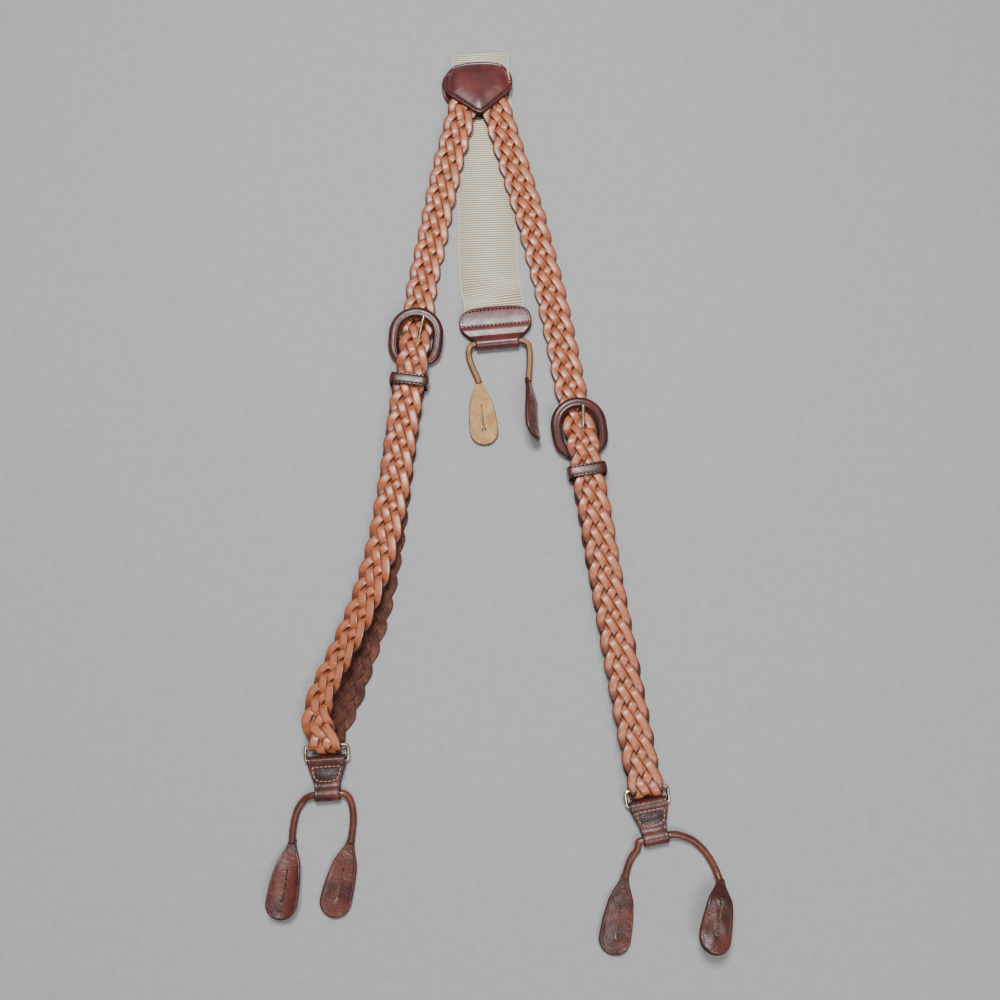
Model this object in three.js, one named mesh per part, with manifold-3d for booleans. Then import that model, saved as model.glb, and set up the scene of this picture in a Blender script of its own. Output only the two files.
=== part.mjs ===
// Braided leather suspenders with button-on ends, lying flat with the back strap folded under.
// Units are millimetres, +Z is up, +Y runs towards the yoke and +X is the right hand side.
import * as THREE from 'three';
import { mergeVertices } from 'three/addons/utils/BufferGeometryUtils.js';
import Module from 'manifold-3d';

// Fit
const CLEARANCE = 0.3;

// Leather, elastic and braid
const LEATHER = 1.6;
const LEATHER_THIN = 1.4;
const ELASTIC_WIDTH = 38;
const ELASTIC_THICKNESS = 1.6;
const BRAID_WIDTH = 19;
const BRAID_THICKNESS = 3.6;

// Rolled cords and button tabs
const CORD_DIAMETER = 4;
const TAB_LENGTH = 39.5;
const TAB_WIDTH = 17.5;
const TAB_THICKNESS = 2.6;
const TAB_NECK_WIDTH = 5;
const SLIT_LENGTH = 16;
const SLIT_WIDTH = 1;
const SLIT_HOLE_DIAMETER = 2.6;
const SLIT_END_MARGIN = 10;

// Back strap and its fold
const FOLD_RADIUS = 2.1;
const FOLD_HEADING = 3.5;
const FOLD_X = -13.1;
const FOLD_Y = 280.24;

// Yoke
const YOKE_WIDTH = 46;
const YOKE_LENGTH = 39.5;
const YOKE_X = -12.4;
const YOKE_TIP_Y = 232.8;
const STRAP_ROOT_LENGTH = 24;

// Rear patch
const REAR_PATCH_WIDTH = 45.5;
const REAR_PATCH_LENGTH = 24.2;
const REAR_TUNNEL_WIDTH = 27;
const REAR_HEADING = 5.3;
const REAR_X = -0.9;
const REAR_Y = 72.5;

// Buckles
const BUCKLE_WIDTH = 34.2;
const BUCKLE_LENGTH = 35;
const BUCKLE_RIM = 6.6;
const BUCKLE_THICKNESS = 4.8;
const BUCKLE_FOOT_WIDTH = 23.4;
const BUCKLE_BAR_DIAMETER = 2.4;
const BUCKLE_BAR_INSET = 2.7;
const BUCKLE_BAR_HEIGHT = 3.6;
const BUCKLE_TILT = 10.5;
const RIM_PLAY = 0.98483;
const RETURN_END_WIDTH = 12.6;
const PRONG_DIAMETER = 1.9;
const PRONG_SKEW = 9;
const PRONG_REACH = 30;
const PRONG_SLOT_WIDTH = 3.4;

// Keepers
const KEEPER_LENGTH = 7.2;
const KEEPER_SIDE_PLAY = 1.1;

// Rings and end tabs
const RING_WIDTH = 26;
const RING_PLAY = 0.585786;
const RING_WIRE = 2;
const END_TAB_BOTTOM_WIDTH = 14.2;
const END_TAB_LENGTH = 18.2;

// Colours and finishes
const TAN_LEATHER = { color: 0xc87650, roughness: 0.42 };
const DARK_LEATHER = { color: 0x4a1f1a, roughness: 0.3 };
const SUEDE_LEATHER = { color: 0xcda878, roughness: 0.9 };
const IVORY_ELASTIC = { color: 0xeae2ca, roughness: 0.85 };
const ANTIQUE_BRASS = { color: 0x8a7a55, roughness: 0.35, metalness: 0.9 };

// Heights worked out from the sizes above
const CORD_RADIUS = CORD_DIAMETER / 2;
const CORD_REST_Z = CORD_RADIUS + 0.1;
const TUNNEL_BORE = CORD_RADIUS + CLEARANCE;
const TUNNEL_RADIUS = TUNNEL_BORE + LEATHER;
const BRAID_HALF = BRAID_THICKNESS / 2;
const YOKE_BACK_Z = ELASTIC_THICKNESS + 0.15 + CLEARANCE;
const STRAP_ROOT_Z = YOKE_BACK_Z + LEATHER + CLEARANCE + BRAID_HALF;
const YOKE_FRONT_Z = STRAP_ROOT_Z + BRAID_HALF + CLEARANCE;
const ELASTIC_REST_Z = ELASTIC_THICKNESS / 2 + 0.15;
const FOLD_AXIS_Z = ELASTIC_REST_Z + FOLD_RADIUS;
const FRONT_ON_RETURN_Z = BRAID_THICKNESS + 2 * CLEARANCE + BRAID_HALF;
const KEPT_RETURN_Z = LEATHER_THIN + CLEARANCE + BRAID_HALF;
const KEPT_FRONT_Z = KEPT_RETURN_Z + BRAID_THICKNESS + CLEARANCE;
const BAR_HOLE_RADIUS = BUCKLE_BAR_DIAMETER / 2 + CLEARANCE;
const OVER_BAR_Z = BUCKLE_BAR_HEIGHT + BAR_HOLE_RADIUS + LEATHER + 2 * CLEARANCE + BRAID_HALF;
const RIM_REACH = BUCKLE_LENGTH - BUCKLE_BAR_INSET - BUCKLE_RIM / 2;
const RIM_RISE = RIM_REACH * Math.sin(THREE.MathUtils.degToRad(BUCKLE_TILT));
const RIM_UNDERSIDE_Z = BUCKLE_BAR_HEIGHT + RIM_RISE - BUCKLE_THICKNESS / 2;
const UNDER_RIM_Z = RIM_UNDERSIDE_Z - RIM_PLAY - BRAID_HALF;
const REST_Z = BRAID_HALF + 0.2;
const ON_ELASTIC_Z = ELASTIC_THICKNESS + 2 * CLEARANCE + BRAID_HALF;
const RING_FOLD_RADIUS = RING_WIRE / 2 + CLEARANCE + BRAID_HALF;
const RING_TOP_HEIGHT = REST_Z + RING_FOLD_RADIUS;
const TAB_BAR_BORE = RING_WIRE / Math.SQRT2 + CLEARANCE;
const TAB_BAR_RADIUS = TAB_BAR_BORE + LEATHER_THIN;
const RING_SPACING = RING_FOLD_RADIUS + BRAID_HALF + TAB_BAR_RADIUS + RING_PLAY;
const RING_LENGTH = RING_SPACING + RING_WIRE;
const RING_TILT = THREE.MathUtils.radToDeg(Math.asin((RING_TOP_HEIGHT - TUNNEL_RADIUS) / RING_SPACING));
const END_TAB_TOP_WIDTH = RING_WIDTH - 2 * RING_WIRE - 2 * CLEARANCE;
const BAR_Y = BUCKLE_BAR_INSET - BUCKLE_LENGTH / 2;

const wasm = await Module();
wasm.setup();

/** Degrees to radians. */
const rad = (degrees) => THREE.MathUtils.degToRad(degrees);

/** A closed manifold solid from a closed geometry. */
function solidOf(geometry) {
  const bare = geometry.clone();
  bare.deleteAttribute('normal');
  bare.deleteAttribute('uv');
  const merged = mergeVertices(bare, 1e-4);
  const mesh = new wasm.Mesh({
    numProp: 3,
    vertProperties: new Float32Array(merged.attributes.position.array),
    triVerts: new Uint32Array(merged.index.array),
  });
  return new wasm.Manifold(mesh);
}

/** The geometry of a manifold solid. */
function geometryOf(solid) {
  const mesh = solid.getMesh();
  const geometry = new THREE.BufferGeometry();
  geometry.setAttribute('position', new THREE.BufferAttribute(mesh.vertProperties, 3));
  geometry.setIndex(new THREE.BufferAttribute(mesh.triVerts, 1));
  geometry.computeVertexNormals();
  return geometry;
}

/** The first geometry joined to the ones in add and cut by the ones in cut. */
function combine(base, add, cut) {
  let solid = solidOf(base);
  for (const piece of add) {
    solid = solid.add(solidOf(piece));
  }
  for (const piece of cut) {
    solid = solid.subtract(solidOf(piece));
  }
  return geometryOf(solid);
}

/** The placement of a local frame: height, heading in the plane, tip raised by pitch, turned by roll. */
function frameAt(x, y, z, heading = 0, pitch = 0, roll = 0) {
  const turn = new THREE.Euler(-rad(pitch), rad(roll), rad(heading), 'ZXY');
  const spin = new THREE.Quaternion().setFromEuler(turn);
  return new THREE.Matrix4().compose(new THREE.Vector3(x, y, z), spin, new THREE.Vector3(1, 1, 1));
}

/** A local point seen in the whole object's frame. */
function pointIn(frame, x, y, z) {
  const point = new THREE.Vector3(x, y, z).applyMatrix4(frame);
  return [point.x, point.y, point.z];
}

/** Route points of a quarter turn around a frame's X axis, ending almost level with it: side 1 over, -1 under. */
function quarterTurn(frame, radius, middle, side, share = 1) {
  return [90, 65, 40, 22, 10].map((angle) => {
    const out = middle + radius * Math.cos(rad(angle));
    return [...pointIn(frame, 0, out, side * Math.abs(radius) * Math.sin(rad(angle))), 0, share];
  });
}

/** A flat strip bent along [x, y, z, roll, width share] points, from knot to knot, its folds square to a heading. */
function ribbon(route, width, thickness, steps, heading, from = 0, to = route.length - 1) {
  const curve = new THREE.CatmullRomCurve3(
    route.map(([x, y, z]) => new THREE.Vector3(x, y, z)), false, 'centripetal');
  const knots = route.length - 1;
  const geometry = new THREE.BoxGeometry(width, 1, thickness, 1, steps, 1);
  const position = geometry.attributes.position;
  const across = new THREE.Vector3(Math.cos(rad(heading)), Math.sin(rad(heading)), 0);
  for (let i = 0; i < position.count; i += 1) {
    const share = THREE.MathUtils.clamp(THREE.MathUtils.lerp(from, to, position.getY(i) + 0.5) / knots, 0, 1);
    const knot = Math.min(Math.floor(share * knots), knots - 1);
    const blend = THREE.MathUtils.smoothstep(share * knots - knot, 0, 1);
    const roll = THREE.MathUtils.lerp(route[knot][3] ?? 0, route[knot + 1][3] ?? 0, blend);
    const scale = THREE.MathUtils.lerp(route[knot][4] ?? 1, route[knot + 1][4] ?? 1, blend);
    const tangent = curve.getTangent(share);
    const side = across.clone().addScaledVector(tangent, -across.dot(tangent)).normalize();
    side.applyAxisAngle(tangent, rad(roll));
    const normal = side.clone().cross(tangent);
    const place = curve.getPoint(share);
    place.addScaledVector(side, position.getX(i) * scale);
    place.addScaledVector(normal, position.getZ(i));
    position.setXYZ(i, place.x, place.y, place.z);
  }
  return geometry;
}

/** A round cord swept along a route of points. */
function roundCord(route, radius, steps) {
  const curve = new THREE.CatmullRomCurve3(
    route.map(([x, y, z]) => new THREE.Vector3(x, y, z)), false, 'centripetal');
  const section = new THREE.Shape();
  section.absarc(0, 0, radius, 0, 2 * Math.PI);
  return new THREE.ExtrudeGeometry(section, { steps, curveSegments: radius < 2 ? 4 : 5, extrudePath: curve, bevelEnabled: false });
}

/** A sheet of leather cut to an outline, its underside on z = base. */
function sheet(outline, thickness, base, segments = 8) {
  const geometry = new THREE.ExtrudeGeometry(outline, {
    depth: thickness, curveSegments: segments, bevelEnabled: false });
  return geometry.translate(0, 0, base);
}

/** A rod along local X. */
function rod(radius, length, y = 0, z = 0, sides = 20) {
  return new THREE.CylinderGeometry(radius, radius, length, sides).rotateZ(Math.PI / 2).translate(0, y, z);
}

/** The shield outline of the yoke, its tip at the origin and its top towards +Y. */
function shieldOutline(width, length) {
  const half = width / 2;
  const shoulder = length * 0.64;
  const shape = new THREE.Shape();
  shape.moveTo(0, 0);
  shape.quadraticCurveTo(half * 0.12, 0, half * 0.3, length * 0.1);
  shape.lineTo(half * 0.84, length * 0.36);
  shape.quadraticCurveTo(half, length * 0.45, half, shoulder);
  shape.bezierCurveTo(half, length * 0.92, half * 0.62, length, 0, length);
  shape.bezierCurveTo(-half * 0.62, length, -half, length * 0.92, -half, shoulder);
  shape.quadraticCurveTo(-half, length * 0.45, -half * 0.84, length * 0.36);
  shape.lineTo(-half * 0.3, length * 0.1);
  shape.quadraticCurveTo(-half * 0.12, 0, 0, 0);
  return shape;
}

/** The outline of the rear patch above the middle of its cord tunnel. */
function rearOutline() {
  const half = REAR_PATCH_WIDTH / 2;
  const foot = REAR_TUNNEL_WIDTH / 2;
  const top = REAR_PATCH_LENGTH;
  const shape = new THREE.Shape();
  shape.moveTo(-foot, 0);
  shape.lineTo(foot, 0);
  shape.bezierCurveTo(foot + 1, 5, half, 6.5, half, 12.5);
  shape.bezierCurveTo(half, 18.5, half * 0.8, top * 0.93, half * 0.45, top * 0.97);
  shape.quadraticCurveTo(0, top * 1.03, -half * 0.45, top * 0.97);
  shape.bezierCurveTo(-half * 0.8, top * 0.93, -half, 18.5, -half, 12.5);
  shape.bezierCurveTo(-half, 6.5, -foot - 1, 5, -foot, 0);
  return shape;
}

/** The leather-covered horseshoe of a buckle: a domed rim, open between its feet. */
function horseshoe() {
  const half = (BUCKLE_WIDTH - BUCKLE_RIM) / 2;
  const end = (BUCKLE_LENGTH - BUCKLE_RIM) / 2;
  const foot = (BUCKLE_FOOT_WIDTH - BUCKLE_RIM) / 2;
  const middle = new THREE.CurvePath();
  const low = 0.6 - BUCKLE_LENGTH / 2;
  middle.add(new THREE.CubicBezierCurve3(
    new THREE.Vector3(-foot, low, 0), new THREE.Vector3(-half, low + 4.4, 0),
    new THREE.Vector3(-half, low + 9, 0), new THREE.Vector3(-half, 0, 0)));
  middle.add(new THREE.CubicBezierCurve3(
    new THREE.Vector3(-half, 0, 0), new THREE.Vector3(-half, end * 0.58, 0),
    new THREE.Vector3(-half * 0.56, end, 0), new THREE.Vector3(0, end, 0)));
  middle.add(new THREE.CubicBezierCurve3(
    new THREE.Vector3(0, end, 0), new THREE.Vector3(half * 0.56, end, 0),
    new THREE.Vector3(half, end * 0.58, 0), new THREE.Vector3(half, 0, 0)));
  middle.add(new THREE.CubicBezierCurve3(
    new THREE.Vector3(half, 0, 0), new THREE.Vector3(half, low + 9, 0),
    new THREE.Vector3(half, low + 4.4, 0), new THREE.Vector3(foot, low, 0)));
  const section = new THREE.Shape();
  section.absellipse(0, 0, BUCKLE_THICKNESS / 2, BUCKLE_RIM / 2, 0, 2 * Math.PI);
  return new THREE.ExtrudeGeometry(section, {
    steps: 44, curveSegments: 7, extrudePath: middle, bevelEnabled: false });
}

/** The paddle outline of a button tab hanging from its neck at the origin, with its buttonhole. */
function tabOutline() {
  const half = TAB_WIDTH / 2;
  const neck = TAB_NECK_WIDTH / 2;
  const wide = half - TAB_LENGTH;
  const shape = new THREE.Shape();
  shape.moveTo(-neck, 0);
  shape.bezierCurveTo(-neck - 1, -4, -half * 0.86, -6, -half * 0.88, -14);
  shape.quadraticCurveTo(-half, -22, -half, wide);
  shape.absarc(0, wide, half, Math.PI, 2 * Math.PI);
  shape.quadraticCurveTo(half, -22, half * 0.88, -14);
  shape.bezierCurveTo(half * 0.86, -6, neck + 1, -4, neck, 0);
  shape.closePath();
  const hole = new THREE.Path();
  const low = SLIT_END_MARGIN - TAB_LENGTH;
  const slit = SLIT_WIDTH / 2;
  const round = SLIT_HOLE_DIAMETER / 2;
  const meet = Math.asin(slit / round);
  hole.moveTo(slit, low + SLIT_LENGTH);
  hole.lineTo(-slit, low + SLIT_LENGTH);
  hole.absarc(0, low, round, Math.PI / 2 + meet, 5 * Math.PI / 2 - meet);
  hole.closePath();
  shape.holes.push(hole);
  return shape;
}

/** A wire loop as a rounded rectangle around the origin, bars along local X. */
function wireLoop(width, length, wire) {
  const corner = 1.6;
  const bevel = 0.4;
  const rectangle = (path, w, l, r) => {
    path.moveTo(-w + r, -l);
    path.lineTo(w - r, -l);
    path.quadraticCurveTo(w, -l, w, -l + r);
    path.lineTo(w, l - r);
    path.quadraticCurveTo(w, l, w - r, l);
    path.lineTo(-w + r, l);
    path.quadraticCurveTo(-w, l, -w, l - r);
    path.lineTo(-w, -l + r);
    path.quadraticCurveTo(-w, -l, -w + r, -l);
    return path;
  };
  const outer = rectangle(new THREE.Shape(), width / 2 - bevel, length / 2 - bevel, corner);
  outer.holes.push(rectangle(new THREE.Path(), width / 2 - wire + bevel, length / 2 - wire + bevel, 0.8));
  const depth = wire - 2 * bevel;
  const geometry = new THREE.ExtrudeGeometry(outer, {
    depth, curveSegments: 4, bevelThickness: bevel, bevelSize: bevel, bevelSegments: 1 });
  return geometry.translate(0, 0, -depth / 2);
}

/** Leather folded over two bars: a tunnel at the origin and one at the far end, joined by two plies. */
function endTab() {
  const top = END_TAB_TOP_WIDTH / 2;
  const bottom = END_TAB_BOTTOM_WIDTH / 2;
  const outline = new THREE.Shape();
  outline.moveTo(-top, 0);
  outline.lineTo(-top, -3);
  outline.lineTo(-bottom, -END_TAB_LENGTH + 3);
  outline.lineTo(-bottom, -END_TAB_LENGTH);
  outline.lineTo(bottom, -END_TAB_LENGTH);
  outline.lineTo(bottom, -END_TAB_LENGTH + 3);
  outline.lineTo(top, -3);
  outline.lineTo(top, 0);
  outline.closePath();
  const upper = sheet(outline, LEATHER_THIN, CLEARANCE / 2);
  const lower = sheet(outline, LEATHER_THIN, -LEATHER_THIN - CLEARANCE / 2);
  const aroundRing = rod(TAB_BAR_RADIUS, END_TAB_TOP_WIDTH);
  const aroundCord = rod(TUNNEL_RADIUS, END_TAB_BOTTOM_WIDTH, -END_TAB_LENGTH);
  const ringBore = rod(TAB_BAR_BORE, END_TAB_TOP_WIDTH + 2);
  const cordBore = rod(TUNNEL_BORE, END_TAB_BOTTOM_WIDTH + 2, -END_TAB_LENGTH);
  return combine(upper, [lower, aroundRing, aroundCord], [ringBore, cordBore]);
}

/** Rear patch: two plies with the elastic between them and a tunnel for the rolled cord. */
function rearPatch() {
  const outline = rearOutline();
  const upper = sheet(outline, LEATHER, 2 * CLEARANCE + LEATHER + ELASTIC_THICKNESS - TUNNEL_RADIUS);
  const lower = sheet(outline, LEATHER, -TUNNEL_RADIUS);
  const tunnel = rod(TUNNEL_RADIUS, REAR_TUNNEL_WIDTH);
  const bore = rod(TUNNEL_BORE, REAR_TUNNEL_WIDTH + 2);
  return combine(upper, [lower, tunnel], [bore]);
}

/** A keeper band around both layers of braid, its underside on z = 0. */
function keeperBand() {
  const height = KEPT_FRONT_Z + BRAID_HALF + CLEARANCE + LEATHER_THIN;
  const inside = BRAID_WIDTH / 2 + KEEPER_SIDE_PLAY;
  const outside = inside + LEATHER_THIN;
  const band = new THREE.Shape();
  band.moveTo(-outside + 1, 0);
  band.lineTo(outside - 1, 0);
  band.quadraticCurveTo(outside, 0, outside, 1);
  band.lineTo(outside, height - 1);
  band.quadraticCurveTo(outside, height, outside - 1, height);
  band.lineTo(-outside + 1, height);
  band.quadraticCurveTo(-outside, height, -outside, height - 1);
  band.lineTo(-outside, 1);
  band.quadraticCurveTo(-outside, 0, -outside + 1, 0);
  const gap = new THREE.Path();
  gap.moveTo(-inside, LEATHER_THIN);
  gap.lineTo(inside, LEATHER_THIN);
  gap.lineTo(inside, height - LEATHER_THIN);
  gap.lineTo(-inside, height - LEATHER_THIN);
  gap.closePath();
  band.holes.push(gap);
  const geometry = sheet(band, KEEPER_LENGTH, -KEEPER_LENGTH / 2, 3);
  return geometry.rotateX(Math.PI / 2);
}

/** The prong: a wire hooked round the bar and running up to rest on the rim. */
function prongWire() {
  const hook = BUCKLE_BAR_DIAMETER / 2 + 0.2 + PRONG_DIAMETER / 2;
  const rise = BUCKLE_THICKNESS / 2 + PRONG_DIAMETER / 2 + CLEARANCE;
  const turn = [200, 240, 280, 320, 0, 40, 75];
  const route = turn.map((angle) => [0, BAR_Y - hook * Math.cos(rad(angle)), hook * Math.sin(rad(angle))]);
  const lean = Math.tan(rad(PRONG_SKEW));
  for (const reach of [4, 12, 21, PRONG_REACH]) {
    route.push([reach * lean, BAR_Y + reach, THREE.MathUtils.lerp(hook, rise, reach / PRONG_REACH)]);
  }
  return roundCord(route, PRONG_DIAMETER / 2, 34);
}

const suspenders = new THREE.Group();
suspenders.name = 'suspenders';

/** Adds one named piece with its own material, placed by a frame. */
function add(name, geometry, look, frame = new THREE.Matrix4()) {
  const material = new THREE.MeshStandardMaterial({ roughness: 0.5, metalness: 0, ...look });
  material.name = name;
  const mesh = new THREE.Mesh(geometry, material);
  mesh.name = name;
  mesh.applyMatrix4(frame);
  suspenders.add(mesh);
}

/** Adds a button tab hanging from its neck. */
function addTab(name, frame, look) {
  add(name, sheet(tabOutline(), TAB_THICKNESS, -TAB_THICKNESS / 2, 6), look, frame);
}

// ---- Back strap: webbing on the floor, its fold, and the patch that ends it ----

const foldFrame = frameAt(FOLD_X, FOLD_Y, FOLD_AXIS_Z, FOLD_HEADING);
const foldInset = ELASTIC_THICKNESS / 2;
const foldStart = foldInset + FOLD_RADIUS;

const rearFrame = frameAt(REAR_X, REAR_Y, TUNNEL_RADIUS, REAR_HEADING);
const elasticInPatch = LEATHER + CLEARANCE + ELASTIC_THICKNESS / 2;
const elasticRoute = [
  pointIn(rearFrame, 0, 9, elasticInPatch - TUNNEL_RADIUS),
  pointIn(rearFrame, 0, 20, elasticInPatch - TUNNEL_RADIUS),
  pointIn(rearFrame, 0, 29, elasticInPatch - TUNNEL_RADIUS),
  [-5.8, 114, 1.4],
  [-6.9, 132, ELASTIC_REST_Z],
  [-8.2, 180, ELASTIC_REST_Z],
  [-10, 230, ELASTIC_REST_Z],
  pointIn(foldFrame, 0, -20, -FOLD_RADIUS),
  ...quarterTurn(foldFrame, FOLD_RADIUS, -foldStart, -1),
];
add('elastic_rear', ribbon(elasticRoute, ELASTIC_WIDTH, ELASTIC_THICKNESS, 44, FOLD_HEADING), IVORY_ELASTIC);
add('rear_patch', rearPatch(), DARK_LEATHER, rearFrame);

const rearCordRoute = [
  [-12.3, 46.4, CORD_REST_Z],
  [-13.6, 50.6, CORD_REST_Z],
  [-16.2, 56.5, CORD_REST_Z],
  [-18.3, 62.6, 2.2],
  [-18.7, 67.2, 3],
  [-17.6, 70, 3.6],
  pointIn(rearFrame, -15, 0, 0),
  pointIn(rearFrame, -12, 0, 0),
  pointIn(rearFrame, 0, 0, 0),
  pointIn(rearFrame, 12, 0, 0),
  pointIn(rearFrame, 15, 0, 0),
  [17.6, 72.3, 3.6],
  [18.9, 69, 3],
  [19.2, 63.5, 2.3],
  [19, 57, 3],
  [18.5, 51, 4.6],
  [18, 46.4, 5.8],
];
add('rear_cord', roundCord(rearCordRoute, CORD_RADIUS, 56), SUEDE_LEATHER);
addTab('rear_tab_left', frameAt(-12.3, 45.8, TAB_THICKNESS / 2, 6.3), SUEDE_LEATHER);
addTab('rear_tab_right', frameAt(18, 45.8, 6, 6.4, 8, 80), DARK_LEATHER);

// ---- Yoke: two shields with the webbing and both straps sewn between them ----

const yokeFrame = frameAt(YOKE_X, YOKE_TIP_Y, 0, FOLD_HEADING);
const upperRoute = [
  ...quarterTurn(foldFrame, FOLD_RADIUS, -foldStart, 1).reverse(),
  pointIn(foldFrame, 0, -10, FOLD_RADIUS + 0.1),
  pointIn(foldFrame, 0, -18, FOLD_RADIUS + 0.6),
  pointIn(foldFrame, 0, -25, FOLD_RADIUS + 0.6),
];
const yokeFront = new THREE.ExtrudeGeometry(shieldOutline(YOKE_WIDTH - 2, YOKE_LENGTH - 2), {
  depth: LEATHER - 1, curveSegments: 8, bevelThickness: 1, bevelSize: 1, bevelSegments: 2 });
yokeFront.translate(0, 1, 1);
add('yoke_front', yokeFront, DARK_LEATHER, frameAt(YOKE_X, YOKE_TIP_Y, YOKE_FRONT_Z, FOLD_HEADING));
add('yoke_back', sheet(shieldOutline(YOKE_WIDTH, YOKE_LENGTH), LEATHER, YOKE_BACK_Z), DARK_LEATHER, yokeFrame);
add('elastic_upper', ribbon(upperRoute, ELASTIC_WIDTH, ELASTIC_THICKNESS, 12, FOLD_HEADING), IVORY_ELASTIC);

/** The end of a braided strap that is sewn into the yoke, cut back where the two straps meet. */
function strapRoot(side, x, y, heading) {
  const frame = frameAt(x, y, STRAP_ROOT_Z, heading);
  const root = new THREE.BoxGeometry(BRAID_WIDTH, STRAP_ROOT_LENGTH, BRAID_THICKNESS);
  root.translate(0, STRAP_ROOT_LENGTH / 2 + CLEARANCE, 0).applyMatrix4(frame);
  const keepOut = new THREE.BoxGeometry(60, 90, 20);
  keepOut.translate(YOKE_X - side * (30 - CLEARANCE / 2), YOKE_TIP_Y + 20, STRAP_ROOT_Z);
  return combine(root, [], [keepOut]);
}

// ---- One side: braided strap, buckle, keeper, ring, end tab, rolled cord and two button tabs ----

/** The buckle bar hole and prong notch in the end of the returning strap. */
function returnStrap(route, frame, foldHeading) {
  const run = ribbon(route, BRAID_WIDTH, BRAID_THICKNESS, 44, foldHeading);
  const eye = rod(BAR_HOLE_RADIUS + LEATHER, RETURN_END_WIDTH, BAR_Y).applyMatrix4(frame);
  const hole = rod(BAR_HOLE_RADIUS, RETURN_END_WIDTH + 2, BAR_Y).applyMatrix4(frame);
  const notch = new THREE.BoxGeometry(PRONG_SLOT_WIDTH, 9, 12).translate(0, BAR_Y, 0).applyMatrix4(frame);
  return combine(run, [eye], [hole, notch]);
}

/** One length of the strap that carries the load, between two knots of its route, clear of its neighbours. */
function strapLength(route, foldHeading, from, to) {
  const trim = (knot, next) => {
    const [x, y, z] = route[knot];
    const gap = new THREE.Vector3(x, y, z).distanceTo(new THREE.Vector3(...route[next].slice(0, 3)));
    return CLEARANCE / 2 / gap;
  };
  const start = from > 0 ? from + trim(from, from + 1) : from;
  const end = to < route.length - 1 ? to - trim(to, to - 1) : to;
  return ribbon(route, BRAID_WIDTH, BRAID_THICKNESS, 2 * (to - from), foldHeading, start, end);
}

/** A length of strap slotted where the prong comes through it. */
function slotted(run, frame) {
  const slot = new THREE.BoxGeometry(PRONG_SLOT_WIDTH, 20, 12).translate(0, 7, 6);
  slot.rotateZ(-rad(PRONG_SKEW)).translate(0, BAR_Y, 0).applyMatrix4(frame);
  return combine(run, [], [slot]);
}

/** Adds everything that hangs from one strap. */
function addSide(side, layout) {
  const { root, buckle, keeper, foldHeading } = layout;
  const bucklePlace = frameAt(buckle.x, buckle.y, BUCKLE_BAR_HEIGHT - BAR_Y * Math.sin(rad(BUCKLE_TILT)),
    buckle.heading, -BUCKLE_TILT);
  add(`strap_root_${side}`, strapRoot(root.side, root.x, root.y, root.heading), TAN_LEATHER);
  const [edge, rim, kept] = layout.joins;
  const last = layout.front.length - 1;
  const length = (from, to) => strapLength(layout.front, foldHeading, from, to);
  add(`strap_upper_${side}`, length(0, edge), TAN_LEATHER);
  add(`strap_middle_${side}`, length(edge, rim), TAN_LEATHER);
  add(`strap_buckled_${side}`, slotted(length(rim, kept), bucklePlace), TAN_LEATHER);
  add(`strap_lower_${side}`, length(kept, last), TAN_LEATHER);
  add(`strap_return_${side}`, returnStrap(layout.back, bucklePlace, foldHeading), TAN_LEATHER);

  const barLength = BUCKLE_FOOT_WIDTH - 2 * BUCKLE_RIM + 1.6;
  add(`buckle_cover_${side}`, horseshoe(), DARK_LEATHER, bucklePlace);
  add(`buckle_bar_${side}`, rod(BUCKLE_BAR_DIAMETER / 2, barLength, BAR_Y, 0, 12), ANTIQUE_BRASS, bucklePlace);
  add(`prong_${side}`, prongWire(), ANTIQUE_BRASS, bucklePlace);
  add(`keeper_${side}`, keeperBand(), DARK_LEATHER, frameAt(keeper.x, keeper.y, 0, keeper.heading));

  const loop = wireLoop(RING_WIDTH, RING_LENGTH, RING_WIRE).translate(0, -RING_SPACING / 2, 0);
  add(`ring_${side}`, loop, ANTIQUE_BRASS, layout.ring);
  add(`end_tab_${side}`, endTab(), DARK_LEATHER, layout.endTab);
  add(`cord_${side}`, roundCord(layout.cord, CORD_RADIUS, 50), DARK_LEATHER);
  addTab(`tab_${side}_outer`, layout.outerTab, DARK_LEATHER);
  addTab(`tab_${side}_inner`, layout.innerTab, DARK_LEATHER);
}

const tabZ = TAB_THICKNESS / 2;

/** The frame of the end tab that hangs from the lower bar of a ring. */
function hungFrom(ring, heading) {
  const [x, y] = pointIn(ring, 0, -RING_SPACING, 0);
  return frameAt(x, y, TUNNEL_RADIUS, heading);
}

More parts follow.
